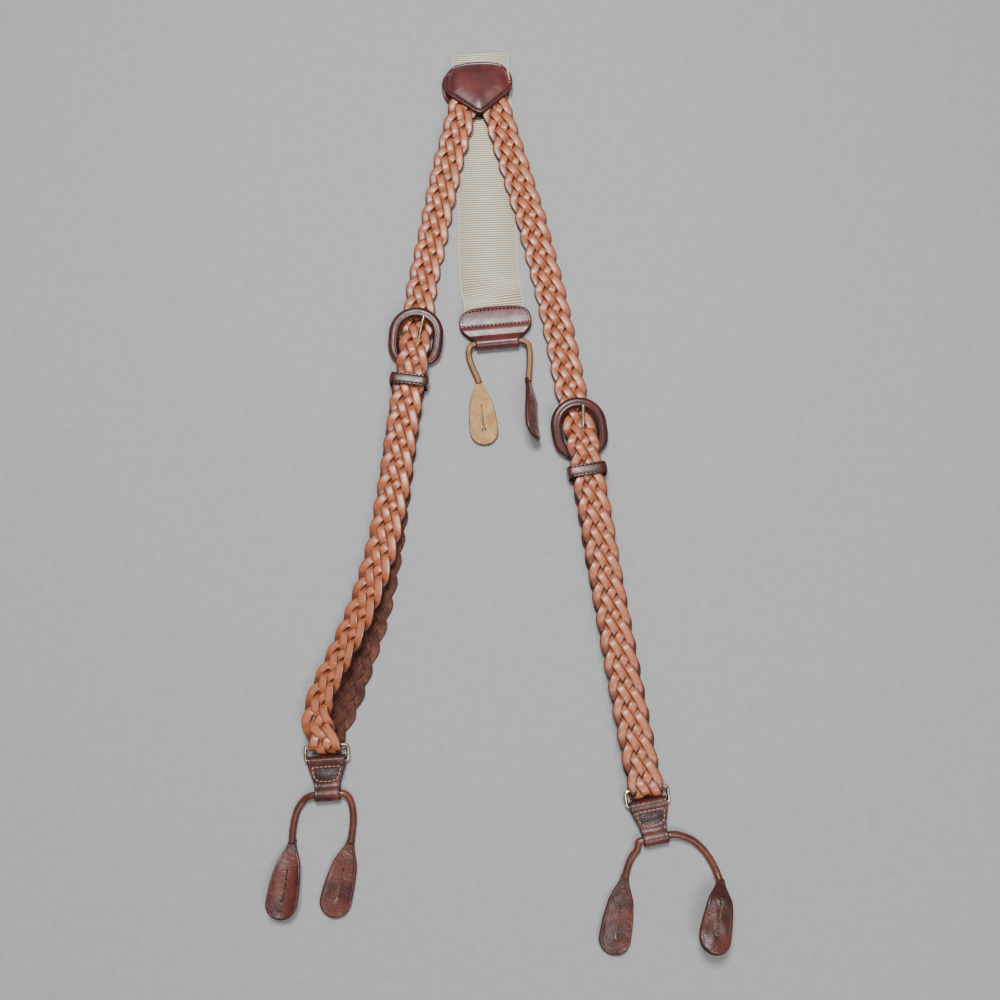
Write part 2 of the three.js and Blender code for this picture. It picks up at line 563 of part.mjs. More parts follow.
const leftBar = frameAt(-97, -171, RING_TOP_HEIGHT, 2);
const leftRing = frameAt(-97, -171, RING_TOP_HEIGHT, 2, -RING_TILT);
const leftEnd = hungFrom(leftRing, 4);
addSide('left', {
  root: { side: -1, x: -26.2, y: 228, heading: -12.9 },
  buckle: { x: -51.5, y: 76.7, heading: -5 },
  keeper: { x: -55.1, y: 46.4, heading: -6.5 },
  foldHeading: 2,
  ring: leftRing,
  endTab: leftEnd,
  joins: [3, 8, 17],
  front: [
    [-26.2, 228, STRAP_ROOT_Z],
    [-29.6, 213, STRAP_ROOT_Z - 0.4],
    [-33.3, 197, 4.4],
    [-36.9, 178, ON_ELASTIC_Z],
    [-40.2, 160, 2.6],
    [-44, 138, REST_Z],
    [-47.5, 118.7, REST_Z],
    [-49.4, 105, 2.9],
    [-50.3, 92, UNDER_RIM_Z],
    [-50.9, 84.5, UNDER_RIM_Z + 0.1],
    [-51.5, 76.7, UNDER_RIM_Z + 1.7],
    [-52.3, 67.5, OVER_BAR_Z],
    [-52.9, 61, OVER_BAR_Z],
    [-53.7, 55, KEPT_FRONT_Z + 0.2],
    [-54.3, 51, KEPT_FRONT_Z],
    [-55.1, 46.4, KEPT_FRONT_Z],
    [-57, 30, KEPT_FRONT_Z],
    [-58.9, 14, KEPT_FRONT_Z],
    [-61.1, -5, FRONT_ON_RETURN_Z + 0.4],
    [-63.3, -23, FRONT_ON_RETURN_Z + 0.1],
    [-69.3, -59.5, FRONT_ON_RETURN_Z + 1, 8],
    [-79.3, -94.9, FRONT_ON_RETURN_Z + 2.4, 25],
    [-90.5, -123.6, FRONT_ON_RETURN_Z + 3.8, 42],
    [-98, -144, FRONT_ON_RETURN_Z + 3.8, 40, 0.95],
    [-99.8, -158, FRONT_ON_RETURN_Z + 3.4, 18, 0.85],
    [-97.6, -165.5, RING_TOP_HEIGHT + RING_FOLD_RADIUS + 0.2, 0, 0.8],
    ...quarterTurn(leftBar, -RING_FOLD_RADIUS, 0, 1, 0.8),
  ],
  back: [
    ...quarterTurn(leftBar, -RING_FOLD_RADIUS, 0, -1, 0.8).reverse(),
    [-95.6, -165, REST_Z, 0, 0.85],
    [-88, -145, REST_Z],
    [-80.2, -120, REST_Z],
    [-73, -95, REST_Z],
    [-67.2, -62, REST_Z],
    [-63.5, -30, REST_Z],
    [-61.4, -8, REST_Z + 0.3],
    [-58.9, 14, KEPT_RETURN_Z],
    [-57, 30, KEPT_RETURN_Z],
    [-55.1, 46.4, KEPT_RETURN_Z, 0, 1],
    [-54.2, 52, KEPT_RETURN_Z, 0, 0.9],
    [-53.2, 60, BUCKLE_BAR_HEIGHT, 0, 0.66],
  ],
  cord: [
    [-114.4, -223.5, CORD_REST_Z],
    [-114.4, -218.8, CORD_REST_Z],
    [-114, -214, CORD_REST_Z],
    [-113.3, -209.6, CORD_REST_Z],
    [-112, -205.5, CORD_REST_Z],
    [-108.4, -200.4, 2.6],
    pointIn(leftEnd, -9.6, -END_TAB_LENGTH - 0.2, -0.3),
    pointIn(leftEnd, -6.5, -END_TAB_LENGTH, 0),
    pointIn(leftEnd, 0, -END_TAB_LENGTH, 0),
    pointIn(leftEnd, 6.5, -END_TAB_LENGTH, 0),
    pointIn(leftEnd, 9.4, -END_TAB_LENGTH - 0.3, -0.3),
    [-83.2, -200, 3],
    [-81.4, -206, CORD_REST_Z],
    [-81, -210, CORD_REST_Z],
    [-81, -214, CORD_REST_Z],
    [-81.4, -218.8, CORD_REST_Z],
    [-82.2, -223.5, CORD_REST_Z],
  ],
  outerTab: frameAt(-114.4, -224, tabZ + 0.2, -6.3, 5),
  innerTab: frameAt(-82.3, -223.8, tabZ, -12.8, 0),
});

const rightBar = frameAt(82, -194.5, RING_TOP_HEIGHT, 8);
const rightRing = frameAt(82, -194.5, RING_TOP_HEIGHT, 8, -RING_TILT);
const rightEnd = hungFrom(rightRing, 11);
addSide('right', {
  root: { side: 1, x: 0.9, y: 228, heading: 15.6 },
  buckle: { x: 48.5, y: 17.5, heading: 9.2 },
  keeper: { x: 53, y: -10.9, heading: 9.2 },
  foldHeading: 8,
  ring: rightRing,
  endTab: rightEnd,
  joins: [4, 11, 20],
  front: [
    [0.9, 228, STRAP_ROOT_Z],
    [5.1, 213, STRAP_ROOT_Z - 0.4],
    [10.3, 195, 4.4],
    [15.3, 177, ON_ELASTIC_Z],
    [20.4, 159, ON_ELASTIC_Z],
    [25, 140, REST_Z],
    [29.3, 122, REST_Z],
    [33, 105, REST_Z],
    [36.3, 88, REST_Z],
    [39.9, 68, REST_Z],
    [43.2, 48, 3],
    [45.7, 33, UNDER_RIM_Z],
    [47.2, 25.5, UNDER_RIM_Z + 0.1],
    [48.5, 17.5, UNDER_RIM_Z + 1.7],
    [50.1, 8.5, OVER_BAR_Z],
    [51.1, 2, OVER_BAR_Z],
    [52, -3, KEPT_FRONT_Z + 0.2],
    [52.5, -7, KEPT_FRONT_Z],
    [53, -10.9, KEPT_FRONT_Z],
    [55.6, -27, KEPT_FRONT_Z],
    [58.2, -43, KEPT_FRONT_Z],
    [60.6, -60, FRONT_ON_RETURN_Z + 0.4],
    [63, -77, FRONT_ON_RETURN_Z + 0.1],
    [68.1, -112, FRONT_ON_RETURN_Z + 0.1],
    [73.4, -146, FRONT_ON_RETURN_Z + 0.2],
    [77.8, -173, FRONT_ON_RETURN_Z + 1.2],
    [80.3, -187, RING_TOP_HEIGHT + RING_FOLD_RADIUS],
    ...quarterTurn(rightBar, -RING_FOLD_RADIUS, 0, 1),
  ],
  back: [
    ...quarterTurn(rightBar, -RING_FOLD_RADIUS, 0, -1).reverse(),
    [80.8, -187, REST_Z],
    [79, -173, REST_Z],
    [74.6, -146, REST_Z],
    [69.2, -112, REST_Z],
    [63.4, -77, REST_Z],
    [60.5, -61, REST_Z + 0.3],
    [58, -43, KEPT_RETURN_Z],
    [55.5, -27, KEPT_RETURN_Z],
    [53, -10.9, KEPT_RETURN_Z, 0, 1],
    [52.1, -6, KEPT_RETURN_Z, 0, 0.9],
    [50.9, 1, BUCKLE_BAR_HEIGHT, 0, 0.66],
  ],
  cord: [
    [69.2, -242.2, CORD_REST_Z],
    [71, -236, CORD_REST_Z],
    [73.6, -230.6, 2.1],
    [76.4, -226.9, 2.8],
    pointIn(rightEnd, -9.6, -END_TAB_LENGTH - 0.2, -0.2),
    pointIn(rightEnd, -6.5, -END_TAB_LENGTH, 0),
    pointIn(rightEnd, 0, -END_TAB_LENGTH, 0),
    pointIn(rightEnd, 6.5, -END_TAB_LENGTH, 0),
    pointIn(rightEnd, 10.4, -END_TAB_LENGTH, 0),
    [102.5, -220.1, 3.5],
    [107.6, -222.3, 2.8],
    [112.6, -226.6, 2.2],
    [116.6, -232, CORD_REST_Z],
    [119.3, -237.5, 2.4],
    [121, -242.9, 4],
  ],
  outerTab: frameAt(121.2, -244.3, 4, -12.6, 30),
  innerTab: frameAt(69.1, -242.5, tabZ, -11.8, 0),
});

export default suspenders;
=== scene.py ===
"""Braided leather suspenders: every visible piece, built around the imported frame."""

import logging
import math
from dataclasses import dataclass, field, replace
from enum import Enum
from typing import Any, Callable, Sequence

import bmesh
import bpy
import numpy as np
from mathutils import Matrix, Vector, noise


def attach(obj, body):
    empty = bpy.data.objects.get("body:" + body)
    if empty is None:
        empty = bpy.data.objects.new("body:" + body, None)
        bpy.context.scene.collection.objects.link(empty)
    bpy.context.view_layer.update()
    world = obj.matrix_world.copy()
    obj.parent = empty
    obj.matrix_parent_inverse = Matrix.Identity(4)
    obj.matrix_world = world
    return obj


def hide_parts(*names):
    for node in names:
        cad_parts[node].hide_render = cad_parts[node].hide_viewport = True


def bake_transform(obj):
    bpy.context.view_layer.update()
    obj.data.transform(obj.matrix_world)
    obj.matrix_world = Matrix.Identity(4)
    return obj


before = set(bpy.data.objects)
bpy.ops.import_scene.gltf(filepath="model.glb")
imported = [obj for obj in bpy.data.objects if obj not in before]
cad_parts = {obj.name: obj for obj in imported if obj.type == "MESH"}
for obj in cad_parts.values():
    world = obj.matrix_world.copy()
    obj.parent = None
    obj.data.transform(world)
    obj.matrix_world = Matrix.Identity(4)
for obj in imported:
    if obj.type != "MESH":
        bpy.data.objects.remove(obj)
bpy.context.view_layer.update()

MM = 0.001
LOG = logging.getLogger("suspenders")
Array = np.ndarray
Colour = tuple[float, float, float, float]


class Slot(Enum):
    """The record's material slots."""

    BRAID = "braided_leather"
    DARK = "dark_leather"
    BUCKLE = "buckle_leather"
    ROLLED = "rolled_leather"
    TAB = "tab_leather"
    SUEDE = "suede_leather"
    ELASTIC = "elastic_webbing"
    BRASS = "antique_brass"


# ---- Small maths ----


def ease(value: Array | float) -> Array:
    """A smooth step from 0 to 1."""
    t = np.clip(value, 0.0, 1.0)
    return t * t * (3 - 2 * t)


def bell(value: Array | float, middle: float, width: float) -> Array:
    """A bump of height 1 around middle."""
    return np.exp(-(((np.asarray(value) - middle) / width) ** 2))


def unit(rows: Array) -> Array:
    """Rows scaled to length 1."""
    return rows / np.maximum(np.linalg.norm(rows, axis=-1, keepdims=True), 1e-12)


def distances(points: Array) -> Array:
    """Distance along a line of points, from its first one."""
    return np.concatenate([[0], np.cumsum(np.linalg.norm(np.diff(points, axis=0), axis=1))])


def resample(points: Array, spots: Array) -> Array:
    """The points of a line at given distances along it."""
    reach = distances(points)
    return np.stack([np.interp(spots, reach, column) for column in points.T], axis=1)


def arc(radius: float, degrees: Sequence[float], middle: float = 0.0) -> list[tuple[float, float]]:
    """Points of a circle around middle, along and up."""
    turns = [math.radians(a) for a in degrees]
    return [(middle + radius * math.cos(turn), radius * math.sin(turn)) for turn in turns]


def ring_tangents(path: Array) -> Array:
    """The directions of a closed path."""
    return unit(np.roll(path, -1, 0) - np.roll(path, 1, 0))


def facing_x(count: int) -> Array:
    """The X direction, once for each point."""
    return np.tile([1.0, 0.0, 0.0], (count, 1))


def add_object(name: str, data: bpy.types.ID) -> bpy.types.Object:
    """A new object in the scene."""
    thing = bpy.data.objects.new(name, data)
    bpy.context.scene.collection.objects.link(thing)
    return thing


def rough(points: Array, scale: float, seed: float) -> Array:
    """Smooth fixed noise from -1 to 1 at points.

    Args:
        points: positions in millimetres.
        scale: size of the lumps in millimetres.
        seed: a shift that makes each piece different.

    Returns:
        One value for each point.
    """
    return np.array([noise.noise(Vector(p) / scale + Vector((seed, seed * 0.7, -seed))) for p in points])


@dataclass(frozen=True)
class Place:
    """A local frame in millimetres and degrees: -Y runs down the strap, +pitch raises that end."""

    x: float
    y: float
    z: float
    heading: float = 0.0
    pitch: float = 0.0
    roll: float = 0.0

    def turn(self) -> Array:
        """The frame's rotation.

        Returns:
            A 3 by 3 matrix.
        """
        h, p, r = (math.radians(a) for a in (self.heading, -self.pitch, self.roll))
        about_z = np.array([[math.cos(h), -math.sin(h), 0], [math.sin(h), math.cos(h), 0], [0, 0, 1]])
        about_x = np.array([[1, 0, 0], [0, math.cos(p), -math.sin(p)], [0, math.sin(p), math.cos(p)]])
        about_y = np.array([[math.cos(r), 0, math.sin(r)], [0, 1, 0], [-math.sin(r), 0, math.cos(r)]])
        return about_z @ about_x @ about_y

    def at(self, x: float, y: float, z: float = 0.0) -> list[float]:
        """A local point in the object's frame."""
        return list(self.turn() @ np.array([x, y, z]) + np.array([self.x, self.y, self.z]))

    def put(self, points: Array) -> Array:
        """Local points in the object's frame."""
        return points @ self.turn().T + np.array([self.x, self.y, self.z])

    def aim(self, directions: Array) -> Array:
        """Local directions in the object's frame."""
        return directions @ self.turn().T

    def up(self) -> Array:
        """The frame's own up direction, as one row."""
        return self.aim(np.array([[0.0, 0.0, 1.0]]))


def quarter_turn(place: Place, radius: float, middle: float, side: int,
                 share: float = 1.0) -> list[list[float]]:
    """Knots of a quarter turn around a frame's X axis.

    Args:
        place: the frame of the axis.
        radius: radius of the turn, negative towards -Y.
        middle: where the axis lies along Y.
        side: 1 above the axis and -1 below it.
        share: width share of the strip there.

    Returns:
        Knots from straight over the axis to nearly level with it.
    """
    knots = []
    for angle in (90, 65, 40, 22, 10):
        out = middle + radius * math.cos(math.radians(angle))
        lift = side * abs(radius) * math.sin(math.radians(angle))
        knots.append([*place.at(0, out, lift), 0.0, share])
    return knots


class Spine:
    """A smooth line through chosen knots, with the side and up directions of what follows it."""

    def __init__(self, knots: Sequence[Sequence[float]], heading: float = 0.0, step: float = 1.0,
                 level: bool = False) -> None:
        """Samples the line evenly.

        Args:
            knots: rows of x, y, z and, where they matter, roll and width share.
            heading: direction of the folds in degrees.
            step: distance between samples in millimetres.
            level: True keeps the up direction as near to vertical as it can be.
        """
        rows = np.array([list(k) + [0.0, 1.0][len(k) - 3:] for k in knots], float)
        fine, roll, share = self.fine(rows)
        reach = distances(fine)
        self.length = float(reach[-1])
        count = max(int(round(self.length / step)), 2) + 1
        self.along = np.linspace(0, self.length, count)
        self.points = resample(fine, self.along)
        self.share = np.interp(self.along, reach, share)
        self.tangents = unit(np.gradient(self.points, self.along, axis=0))
        if level:
            self.sides = unit(np.cross(self.tangents, np.array([0.0, 0.0, 1.0])))
        else:
            across = np.array([math.cos(math.radians(heading)), math.sin(math.radians(heading)), 0.0])
            self.sides = unit(across - (self.tangents @ across)[:, None] * self.tangents)
        ups = np.cross(self.tangents, self.sides) if not level else np.cross(self.sides, self.tangents)
        angle = np.radians(np.interp(self.along, reach, roll))[:, None]
        self.sides, self.ups = (np.cos(angle) * self.sides + np.sin(angle) * ups,
                                np.cos(angle) * ups - np.sin(angle) * self.sides)

    @staticmethod
    def fine(rows: Array, steps: int = 24) -> tuple[Array, Array, Array]:
        """A centripetal curve through rows.

        Args:
            rows: x, y, z, roll and width share of each knot.
            steps: samples between two knots.

        Returns:
            The points, the rolls and the shares along it.
        """
        points = rows[:, :3]
        padded = np.vstack([2 * points[0] - points[1], points, 2 * points[-1] - points[-2]])
        fine, roll, share = [], [], []
        for i in range(len(points) - 1):
            a, b, c, d = padded[i:i + 4]
            ab, bc, cd = (max(math.sqrt(np.linalg.norm(q - p)), 1e-3) for p, q in ((a, b), (b, c), (c, d)))
            start = ((b - a) / ab - (c - a) / (ab + bc) + (c - b) / bc) * bc
            end = ((c - b) / bc - (d - b) / (bc + cd) + (d - c) / cd) * bc
            last = i == len(points) - 2
            for t in np.linspace(0, 1, steps + 1)[: None if last else -1]:
                fine.append(b + start * t + (3 * (c - b) - 2 * start - end) * t**2
                            + (2 * (b - c) + start + end) * t**3)
                blend = float(ease(t))
                roll.append(rows[i, 3] + (rows[i + 1, 3] - rows[i, 3]) * blend)
                share.append(rows[i, 4] + (rows[i + 1, 4] - rows[i, 4]) * blend)
        return np.array(fine), np.array(roll), np.array(share)

    def rail(self, name: str) -> bpy.types.Object:
        """The line as a bare mesh that carries its directions, ready for a node tree.

        Args:
            name: name of the mesh and object.

        Returns:
            The new object.
        """
        return rail_mesh(name, [(self.points, self.ups)], self)


def rail_mesh(name: str, runs: Sequence[tuple[Array, Array]], spine: Spine | None = None) -> bpy.types.Object:
    """Open lines of edges as one mesh with an up direction at each point.

    Args:
        name: name of the mesh and object.
        runs: pairs of points in millimetres and up directions.
        spine: gives side directions, distance and width share to a single run.

    Returns:
        The new object, linked to the scene.
    """
    points = np.vstack([p for p, _ in runs]) * MM
    edges, first = [], 0
    for p, _ in runs:
        edges += [(first + i, first + i + 1) for i in range(len(p) - 1)]
        first += len(p)
    mesh = bpy.data.meshes.new(name)
    mesh.from_pydata(points.tolist(), edges, [])
    vectors = {"up": np.vstack([u for _, u in runs])}
    values: dict[str, Array] = {}
    if spine is not None:
        vectors["side"] = spine.sides
        values = {"along": spine.along * MM, "share": spine.share}
    for key, data in vectors.items():
        layer = mesh.attributes.new(key, "FLOAT_VECTOR", "POINT")
        layer.data.foreach_set("vector", data.astype(np.float32).ravel())
    for key, data in values.items():
        mesh.attributes.new(key, "FLOAT", "POINT").data.foreach_set("value", data.astype(np.float32))
    return add_object(name, mesh)


# ---- Skins made of loops ----


@dataclass
class Loft:
    """Loops of points joined in order into one closed skin, with values marked on its points."""

    closed: bool = False
    loops: list[Array] = field(default_factory=list)
    marks: dict[str, list[Array]] = field(default_factory=dict)

    def add(self, loop: Array, **marks: Array | float) -> None:
        """Adds one loop.

        Args:
            loop: its points in millimetres.
            **marks: one value, or one for each point, under each name.
        """
        self.loops.append(np.asarray(loop, float))
        for name, value in marks.items():
            spread = np.broadcast_to(np.asarray(value, float), (len(loop),))
            self.marks.setdefault(name, []).append(spread)

    def faces(self, first: int) -> list[tuple[int, ...]]:
        """The faces of the skin.

        Args:
            first: number of its first point in the mesh.

        Returns:
            The corner numbers of each face.
        """
        size, count = len(self.loops[0]), len(self.loops)
        made: list[tuple[int, ...]] = []
        for i in range(count if self.closed else count - 1):
            a, b = first + i * size, first + (i + 1) % count * size
            for j in range(size):
                k = (j + 1) % size
                made.append((a + j, a + k, b + k, b + j))
        if not self.closed:
            made.append(tuple(first + j for j in reversed(range(size))))
            made.append(tuple(first + (count - 1) * size + j for j in range(size)))
        return made


def make_piece(name: str, lofts: Sequence[Loft], material: bpy.types.Material,
               place: Place | None = None) -> bpy.types.Object:
    """One object out of several skins.

    Args:
        name: name of the piece.
        lofts: its skins, with the same marks on each.
        material: what it is made of.
        place: the frame that the skins are in, if not the object's own.

    Returns:
        The finished object, its place in its mesh.
    """
    points, faces, first = [], [], 0
    marks: dict[str, list[Array]] = {}
    for loft in lofts:
        faces += loft.faces(first)
        points += loft.loops
        first += sum(len(loop) for loop in loft.loops)
        for key, rows in loft.marks.items():
            marks.setdefault(key, []).extend(rows)
    all_points = np.vstack(points)
    if place is not None:
        all_points = place.put(all_points)
    mesh = bpy.data.meshes.new(name)
    mesh.from_pydata((all_points * MM).tolist(), [], faces)
    for key, rows in marks.items():
        data = np.concatenate(rows).astype(np.float32)
        mesh.attributes.new(key, "FLOAT", "POINT").data.foreach_set("value", data)
    shell = bmesh.new()
    shell.from_mesh(mesh)
    bmesh.ops.remove_doubles(shell, verts=shell.verts, dist=1e-6)
    bmesh.ops.recalc_face_normals(shell, faces=shell.faces)
    shell.to_mesh(mesh)
    shell.free()
    mesh.shade_smooth()
    mesh.materials.append(material)
    thing = add_object(name, mesh)
    return thing


EDGE_STEPS = (0.0, 0.1, 0.3, 0.6, 1.0, 1.5, 1.85, 2.1, 2.35, 2.8, 3.6, 5.0, 7.0, 10.0, 14.0, 19.0)
NARROW = 5
NEARLY_MIDDLE = 0.985


def strip_section(half: float, thick: float, puff: float, groove: float,
                  seam: float = 2.1) -> tuple[Array, Array, Array]:
    """The section of a leather strip with rounded edges and a seam pressed in along both sides.

    Args:
        half: half its width.
        thick: its thickness.
        puff: how far its outer face swells in the middle.
        groove: depth of the seam.
        seam: distance of the seam from the edge.

    Returns:
        Points across and up, the edge mark and the outer mark of each.
    """
    most = half * (np.linspace(0, NEARLY_MIDDLE, len(EDGE_STEPS)) if half < NARROW else NEARLY_MIDDLE)
    inset = np.minimum(np.array(EDGE_STEPS), most)
    inset = np.minimum.accumulate(inset[::-1])[::-1]
    bow = np.sqrt(1 - (1 - np.clip(inset / min(0.8, half), 0, 1)) ** 2)
    swell = puff * ease((inset - 0.6) / min(max(half * 0.75, 0.5), 6.0))
    top = thick / 2 * bow + swell - groove * bell(inset, seam, 0.42)
    low = -thick / 2 * bow
    across = np.concatenate([-half + inset, (half - inset)[::-1], (half - inset)[1:], (-half + inset)[:0:-1]])
    up = np.concatenate([top, top[::-1], low[1:], low[:0:-1]])
    edge = 1 - ease(inset / 1.1)
    worn = np.concatenate([edge, edge[::-1], edge[1:], edge[:0:-1]])
    outer = np.concatenate([np.ones(2 * len(inset)), np.zeros(2 * len(inset) - 2)])
    return np.stack([across, up], axis=1), worn, outer


def sweep_strip(path: Array, sides: Array, outs: Array, half: Array, thick: float, puff: Array | float,
                groove: float, closed: bool, seam: float = 2.1) -> Loft:
    """A leather strip that follows a path.

    Args:
        path: points at the middle of its thickness.
        sides: directions across it.
        outs: directions of its outer face.
        half: half its width at each point.
        thick: its thickness.
        puff: swelling of the outer face at each point.
        groove: depth of the seams.
        closed: True if its ends meet.
        seam: distance of the seams from the edges.

    Returns:
        The strip's skin.
    """
    loft = Loft(closed)
    swell = np.broadcast_to(np.asarray(puff, float), (len(path),))
    for point, side, out, wide, puffed in zip(path, sides, outs, half, swell):
        section, worn, outer = strip_section(float(wide), thick, float(puffed), groove, seam)
        loft.add(point + section[:, :1] * side + section[:, 1:] * out, edge=worn, outer=outer)
    return loft


def smooth_loop(points: Sequence[Sequence[float]], step: float) -> Array:
    """A closed smooth line through points, evenly sampled.

    Args:
        points: corners of the line, two or three numbers each.
        step: distance between samples.

    Returns:
        The samples, without a repeated end.
    """
    rows = np.array(points, float)
    if rows.shape[1] == 2:
        rows = np.hstack([rows, np.zeros((len(rows), 1))])
    wrapped = np.vstack([rows[-2:], rows, rows[:3]])
    full = np.hstack([wrapped, np.zeros((len(wrapped), 1)), np.ones((len(wrapped), 1))])
    steps = 16
    fine = Spine.fine(full, steps)[0][2 * steps:(2 + len(rows)) * steps + 1]
    length = distances(fine)[-1]
    return resample(fine, np.linspace(0, length, max(int(round(length / step)), 8), endpoint=False))


def smooth_line(points: Sequence[Sequence[float]], step: float) -> Array:
    """An open smooth line through points, evenly sampled.

    Args:
        points: corners of the line, three numbers each.
        step: distance between samples.

    Returns:
        The samples.
    """
    rows = np.array(points, float)
    fine = Spine.fine(np.hstack([rows, np.zeros((len(rows), 1)), np.ones((len(rows), 1))]), 12)[0]
    length = distances(fine)[-1]
    return resample(fine, np.linspace(0, length, max(int(round(length / step)), 4)))


def round_skin(spine: Spine, radius: Array | float, sides: int = 16,
               shape: Callable[[Array], Array] | None = None) -> Loft:
    """A round bar or cord along a spine.

    Args:
        spine: its centre line.
        radius: its radius at each sample.
        sides: points around it.
        shape: radius factor by angle in radians.

    Returns:
        The skin, marked with its distance along and its angle.
    """
    loft = Loft()
    angle = np.linspace(0, 2 * math.pi, sides, endpoint=False)
    factor = shape(angle) if shape is not None else np.ones(sides)
    size = np.broadcast_to(np.asarray(radius, float), (len(spine.points),))
    for point, side, up, wide, far in zip(spine.points, spine.sides, spine.ups, size, spine.along):
        ring = wide * factor
        loop = point + (ring * np.cos(angle))[:, None] * side + (ring * np.sin(angle))[:, None] * up
        loft.add(loop, around=np.sin(angle), run=far)
    return loft


# ---- Node trees ----


class Pen:
    """Draws nodes in one tree and joins their sockets."""

    def __init__(self, tree: bpy.types.NodeTree) -> None:
        """Starts in a tree."""
        self.tree = tree

    def feed(self, socket: bpy.types.NodeSocket, value: Any) -> None:
        """Links a socket to value, or sets it.

        Args:
            socket: the input.
            value: a socket, a number, a colour, or None to leave it alone.
        """
        if isinstance(value, bpy.types.NodeSocket):
            self.tree.links.new(value, socket)
        elif value is not None:
            socket.default_value = value

    def node(self, kind: str, inputs: dict[str | int, Any] | None = None, **settings: Any) -> bpy.types.Node:
        """Adds one node.

        Args:
            kind: its type.
            inputs: values or sockets for its inputs, by name or number.
            **settings: its properties.

        Returns:
            The node.
        """
        made = self.tree.nodes.new(kind)
        for key, value in settings.items():
            setattr(made, key, value)
        for key, value in (inputs or {}).items():
            self.feed(made.inputs[key], value)
        return made

    def math(self, operation: str, a: Any, b: Any = None, c: Any = None) -> bpy.types.NodeSocket:
        """The result of one sum on numbers."""
        return self.node("ShaderNodeMath", {0: a, 1: b, 2: c}, operation=operation).outputs[0]

    def times(self, a: Any, b: Any) -> bpy.types.NodeSocket:
        """One number times another."""
        return self.math("MULTIPLY", a, b)

    def plus(self, a: Any, b: Any) -> bpy.types.NodeSocket:
        """One number plus another."""
        return self.math("ADD", a, b)

    def minus(self, a: Any, b: Any) -> bpy.types.NodeSocket:
        """One number minus another."""
        return self.math("SUBTRACT", a, b)

    def named(self, name: str, kind: str = "FLOAT") -> bpy.types.NodeSocket:
        """A value that the line carries at its points."""
        return self.node("GeometryNodeInputNamedAttribute", {"Name": name}, data_type=kind).outputs[0]

    def store(self, geometry: bpy.types.NodeSocket, name: str, value: Any) -> bpy.types.NodeSocket:
        """Marks a value on the points of a geometry.

        Args:
            geometry: what is marked.
            name: name of the mark.
            value: the value, or its socket.

        Returns:
            The marked geometry.
        """
        inputs = {"Geometry": geometry, "Name": name, "Value": value}
        made = self.node("GeometryNodeStoreNamedAttribute", inputs, data_type="FLOAT", domain="POINT")
        return made.outputs[0]

    def dress(self, geometry: bpy.types.NodeSocket, given: bpy.types.Node, out: bpy.types.Node) -> None:
        """Ends a geometry tree: instances made real, smooth faces and one material.

        Args:
            geometry: what the tree has made.
            given: the tree's input node, which has the material.
            out: the tree's output node.
        """
        real = self.node("GeometryNodeRealizeInstances", {"Geometry": geometry})
        smooth = self.node("GeometryNodeSetShadeSmooth", {"Geometry": real.outputs[0]})
        done = self.node("GeometryNodeSetMaterial", {"Geometry": smooth.outputs[0],
                                                     "Material": given.outputs["Material"]})
        self.feed(out.inputs["Geometry"], done.outputs[0])

    def vector(self, operation: str, a: Any, b: Any = None, scale: Any = None) -> bpy.types.NodeSocket:
        """The result of one sum on vectors.

        Args:
            operation: the sum.
            a: its first vector.
            b: its second vector, where it has one.
            scale: its factor, where it has one.

        Returns:
            The result's socket.
        """
        made = self.node("ShaderNodeVectorMath", {0: a, 1: b}, operation=operation)
        if scale is not None:
            self.feed(made.inputs["Scale"], scale)
        return made.outputs[0]

    def mix(self, factor: Any, a: Any, b: Any, blend: str = "MIX") -> bpy.types.NodeSocket:
        """Two colours mixed.

        Args:
            factor: share of the second colour.
            a: the first colour.
            b: the second colour.
            blend: how they mix.

        Returns:
            The mixed colour's socket.
        """
        made = self.node("ShaderNodeMix", data_type="RGBA", blend_type=blend, clamp_factor=True)
        for socket, value in ((made.inputs[0], factor), (made.inputs[6], a), (made.inputs[7], b)):
            self.feed(socket, value)
        return made.outputs[2]

    def ramp(self, value: Any, low: float, high: float, to_low: float = 0.0,
             to_high: float = 1.0) -> bpy.types.NodeSocket:
        """A value moved smoothly from one range to another.

        Args:
            value: what is moved.
            low: where its range starts.
            high: where its range ends.
            to_low: the result at low.
            to_high: the result at high.

        Returns:
            The result's socket.
        """
        made = self.node("ShaderNodeMapRange", {"Value": value, "From Min": low, "From Max": high,
                                                "To Min": to_low, "To Max": to_high},
                         interpolation_type="SMOOTHSTEP")
        return made.outputs[0]

    def noise(self, where: Any, scale: float, detail: float = 3.0,
              rough_share: float = 0.5) -> bpy.types.NodeSocket:
        """A cloud of noise from 0 to 1."""
        return self.node("ShaderNodeTexNoise", {"Vector": where, "Scale": scale, "Detail": detail,
                                                "Roughness": rough_share}).outputs["Fac"]


def new_group(kind: str, name: str, inputs: Sequence[tuple[str, str, Any]], outputs: Sequence[tuple[str, str]]
              ) -> tuple[bpy.types.NodeTree, Pen, bpy.types.Node, bpy.types.Node]:
    """A node group with named sockets.

    Args:
        kind: type of the tree.
        name: its name.
        inputs: name, socket type and default of each input.
        outputs: name and socket type of each output.

    Returns:
        The tree, a pen in it, and its input and output nodes.
    """
    tree = bpy.data.node_groups.new(name, kind)
    for label, socket_type, default in inputs:
        socket = tree.interface.new_socket(name=label, in_out="INPUT", socket_type=socket_type)
        if default is not None:
            socket.default_value = default
    for label, socket_type in outputs:
        tree.interface.new_socket(name=label, in_out="OUTPUT", socket_type=socket_type)
    pen = Pen(tree)
    return tree, pen, pen.node("NodeGroupInput"), pen.node("NodeGroupOutput")


FLOAT = "NodeSocketFloat"
VECTOR = "NodeSocketVector"
COLOUR = "NodeSocketColor"
GEOMETRY = "NodeSocketGeometry"
MATERIAL = "NodeSocketMaterial"


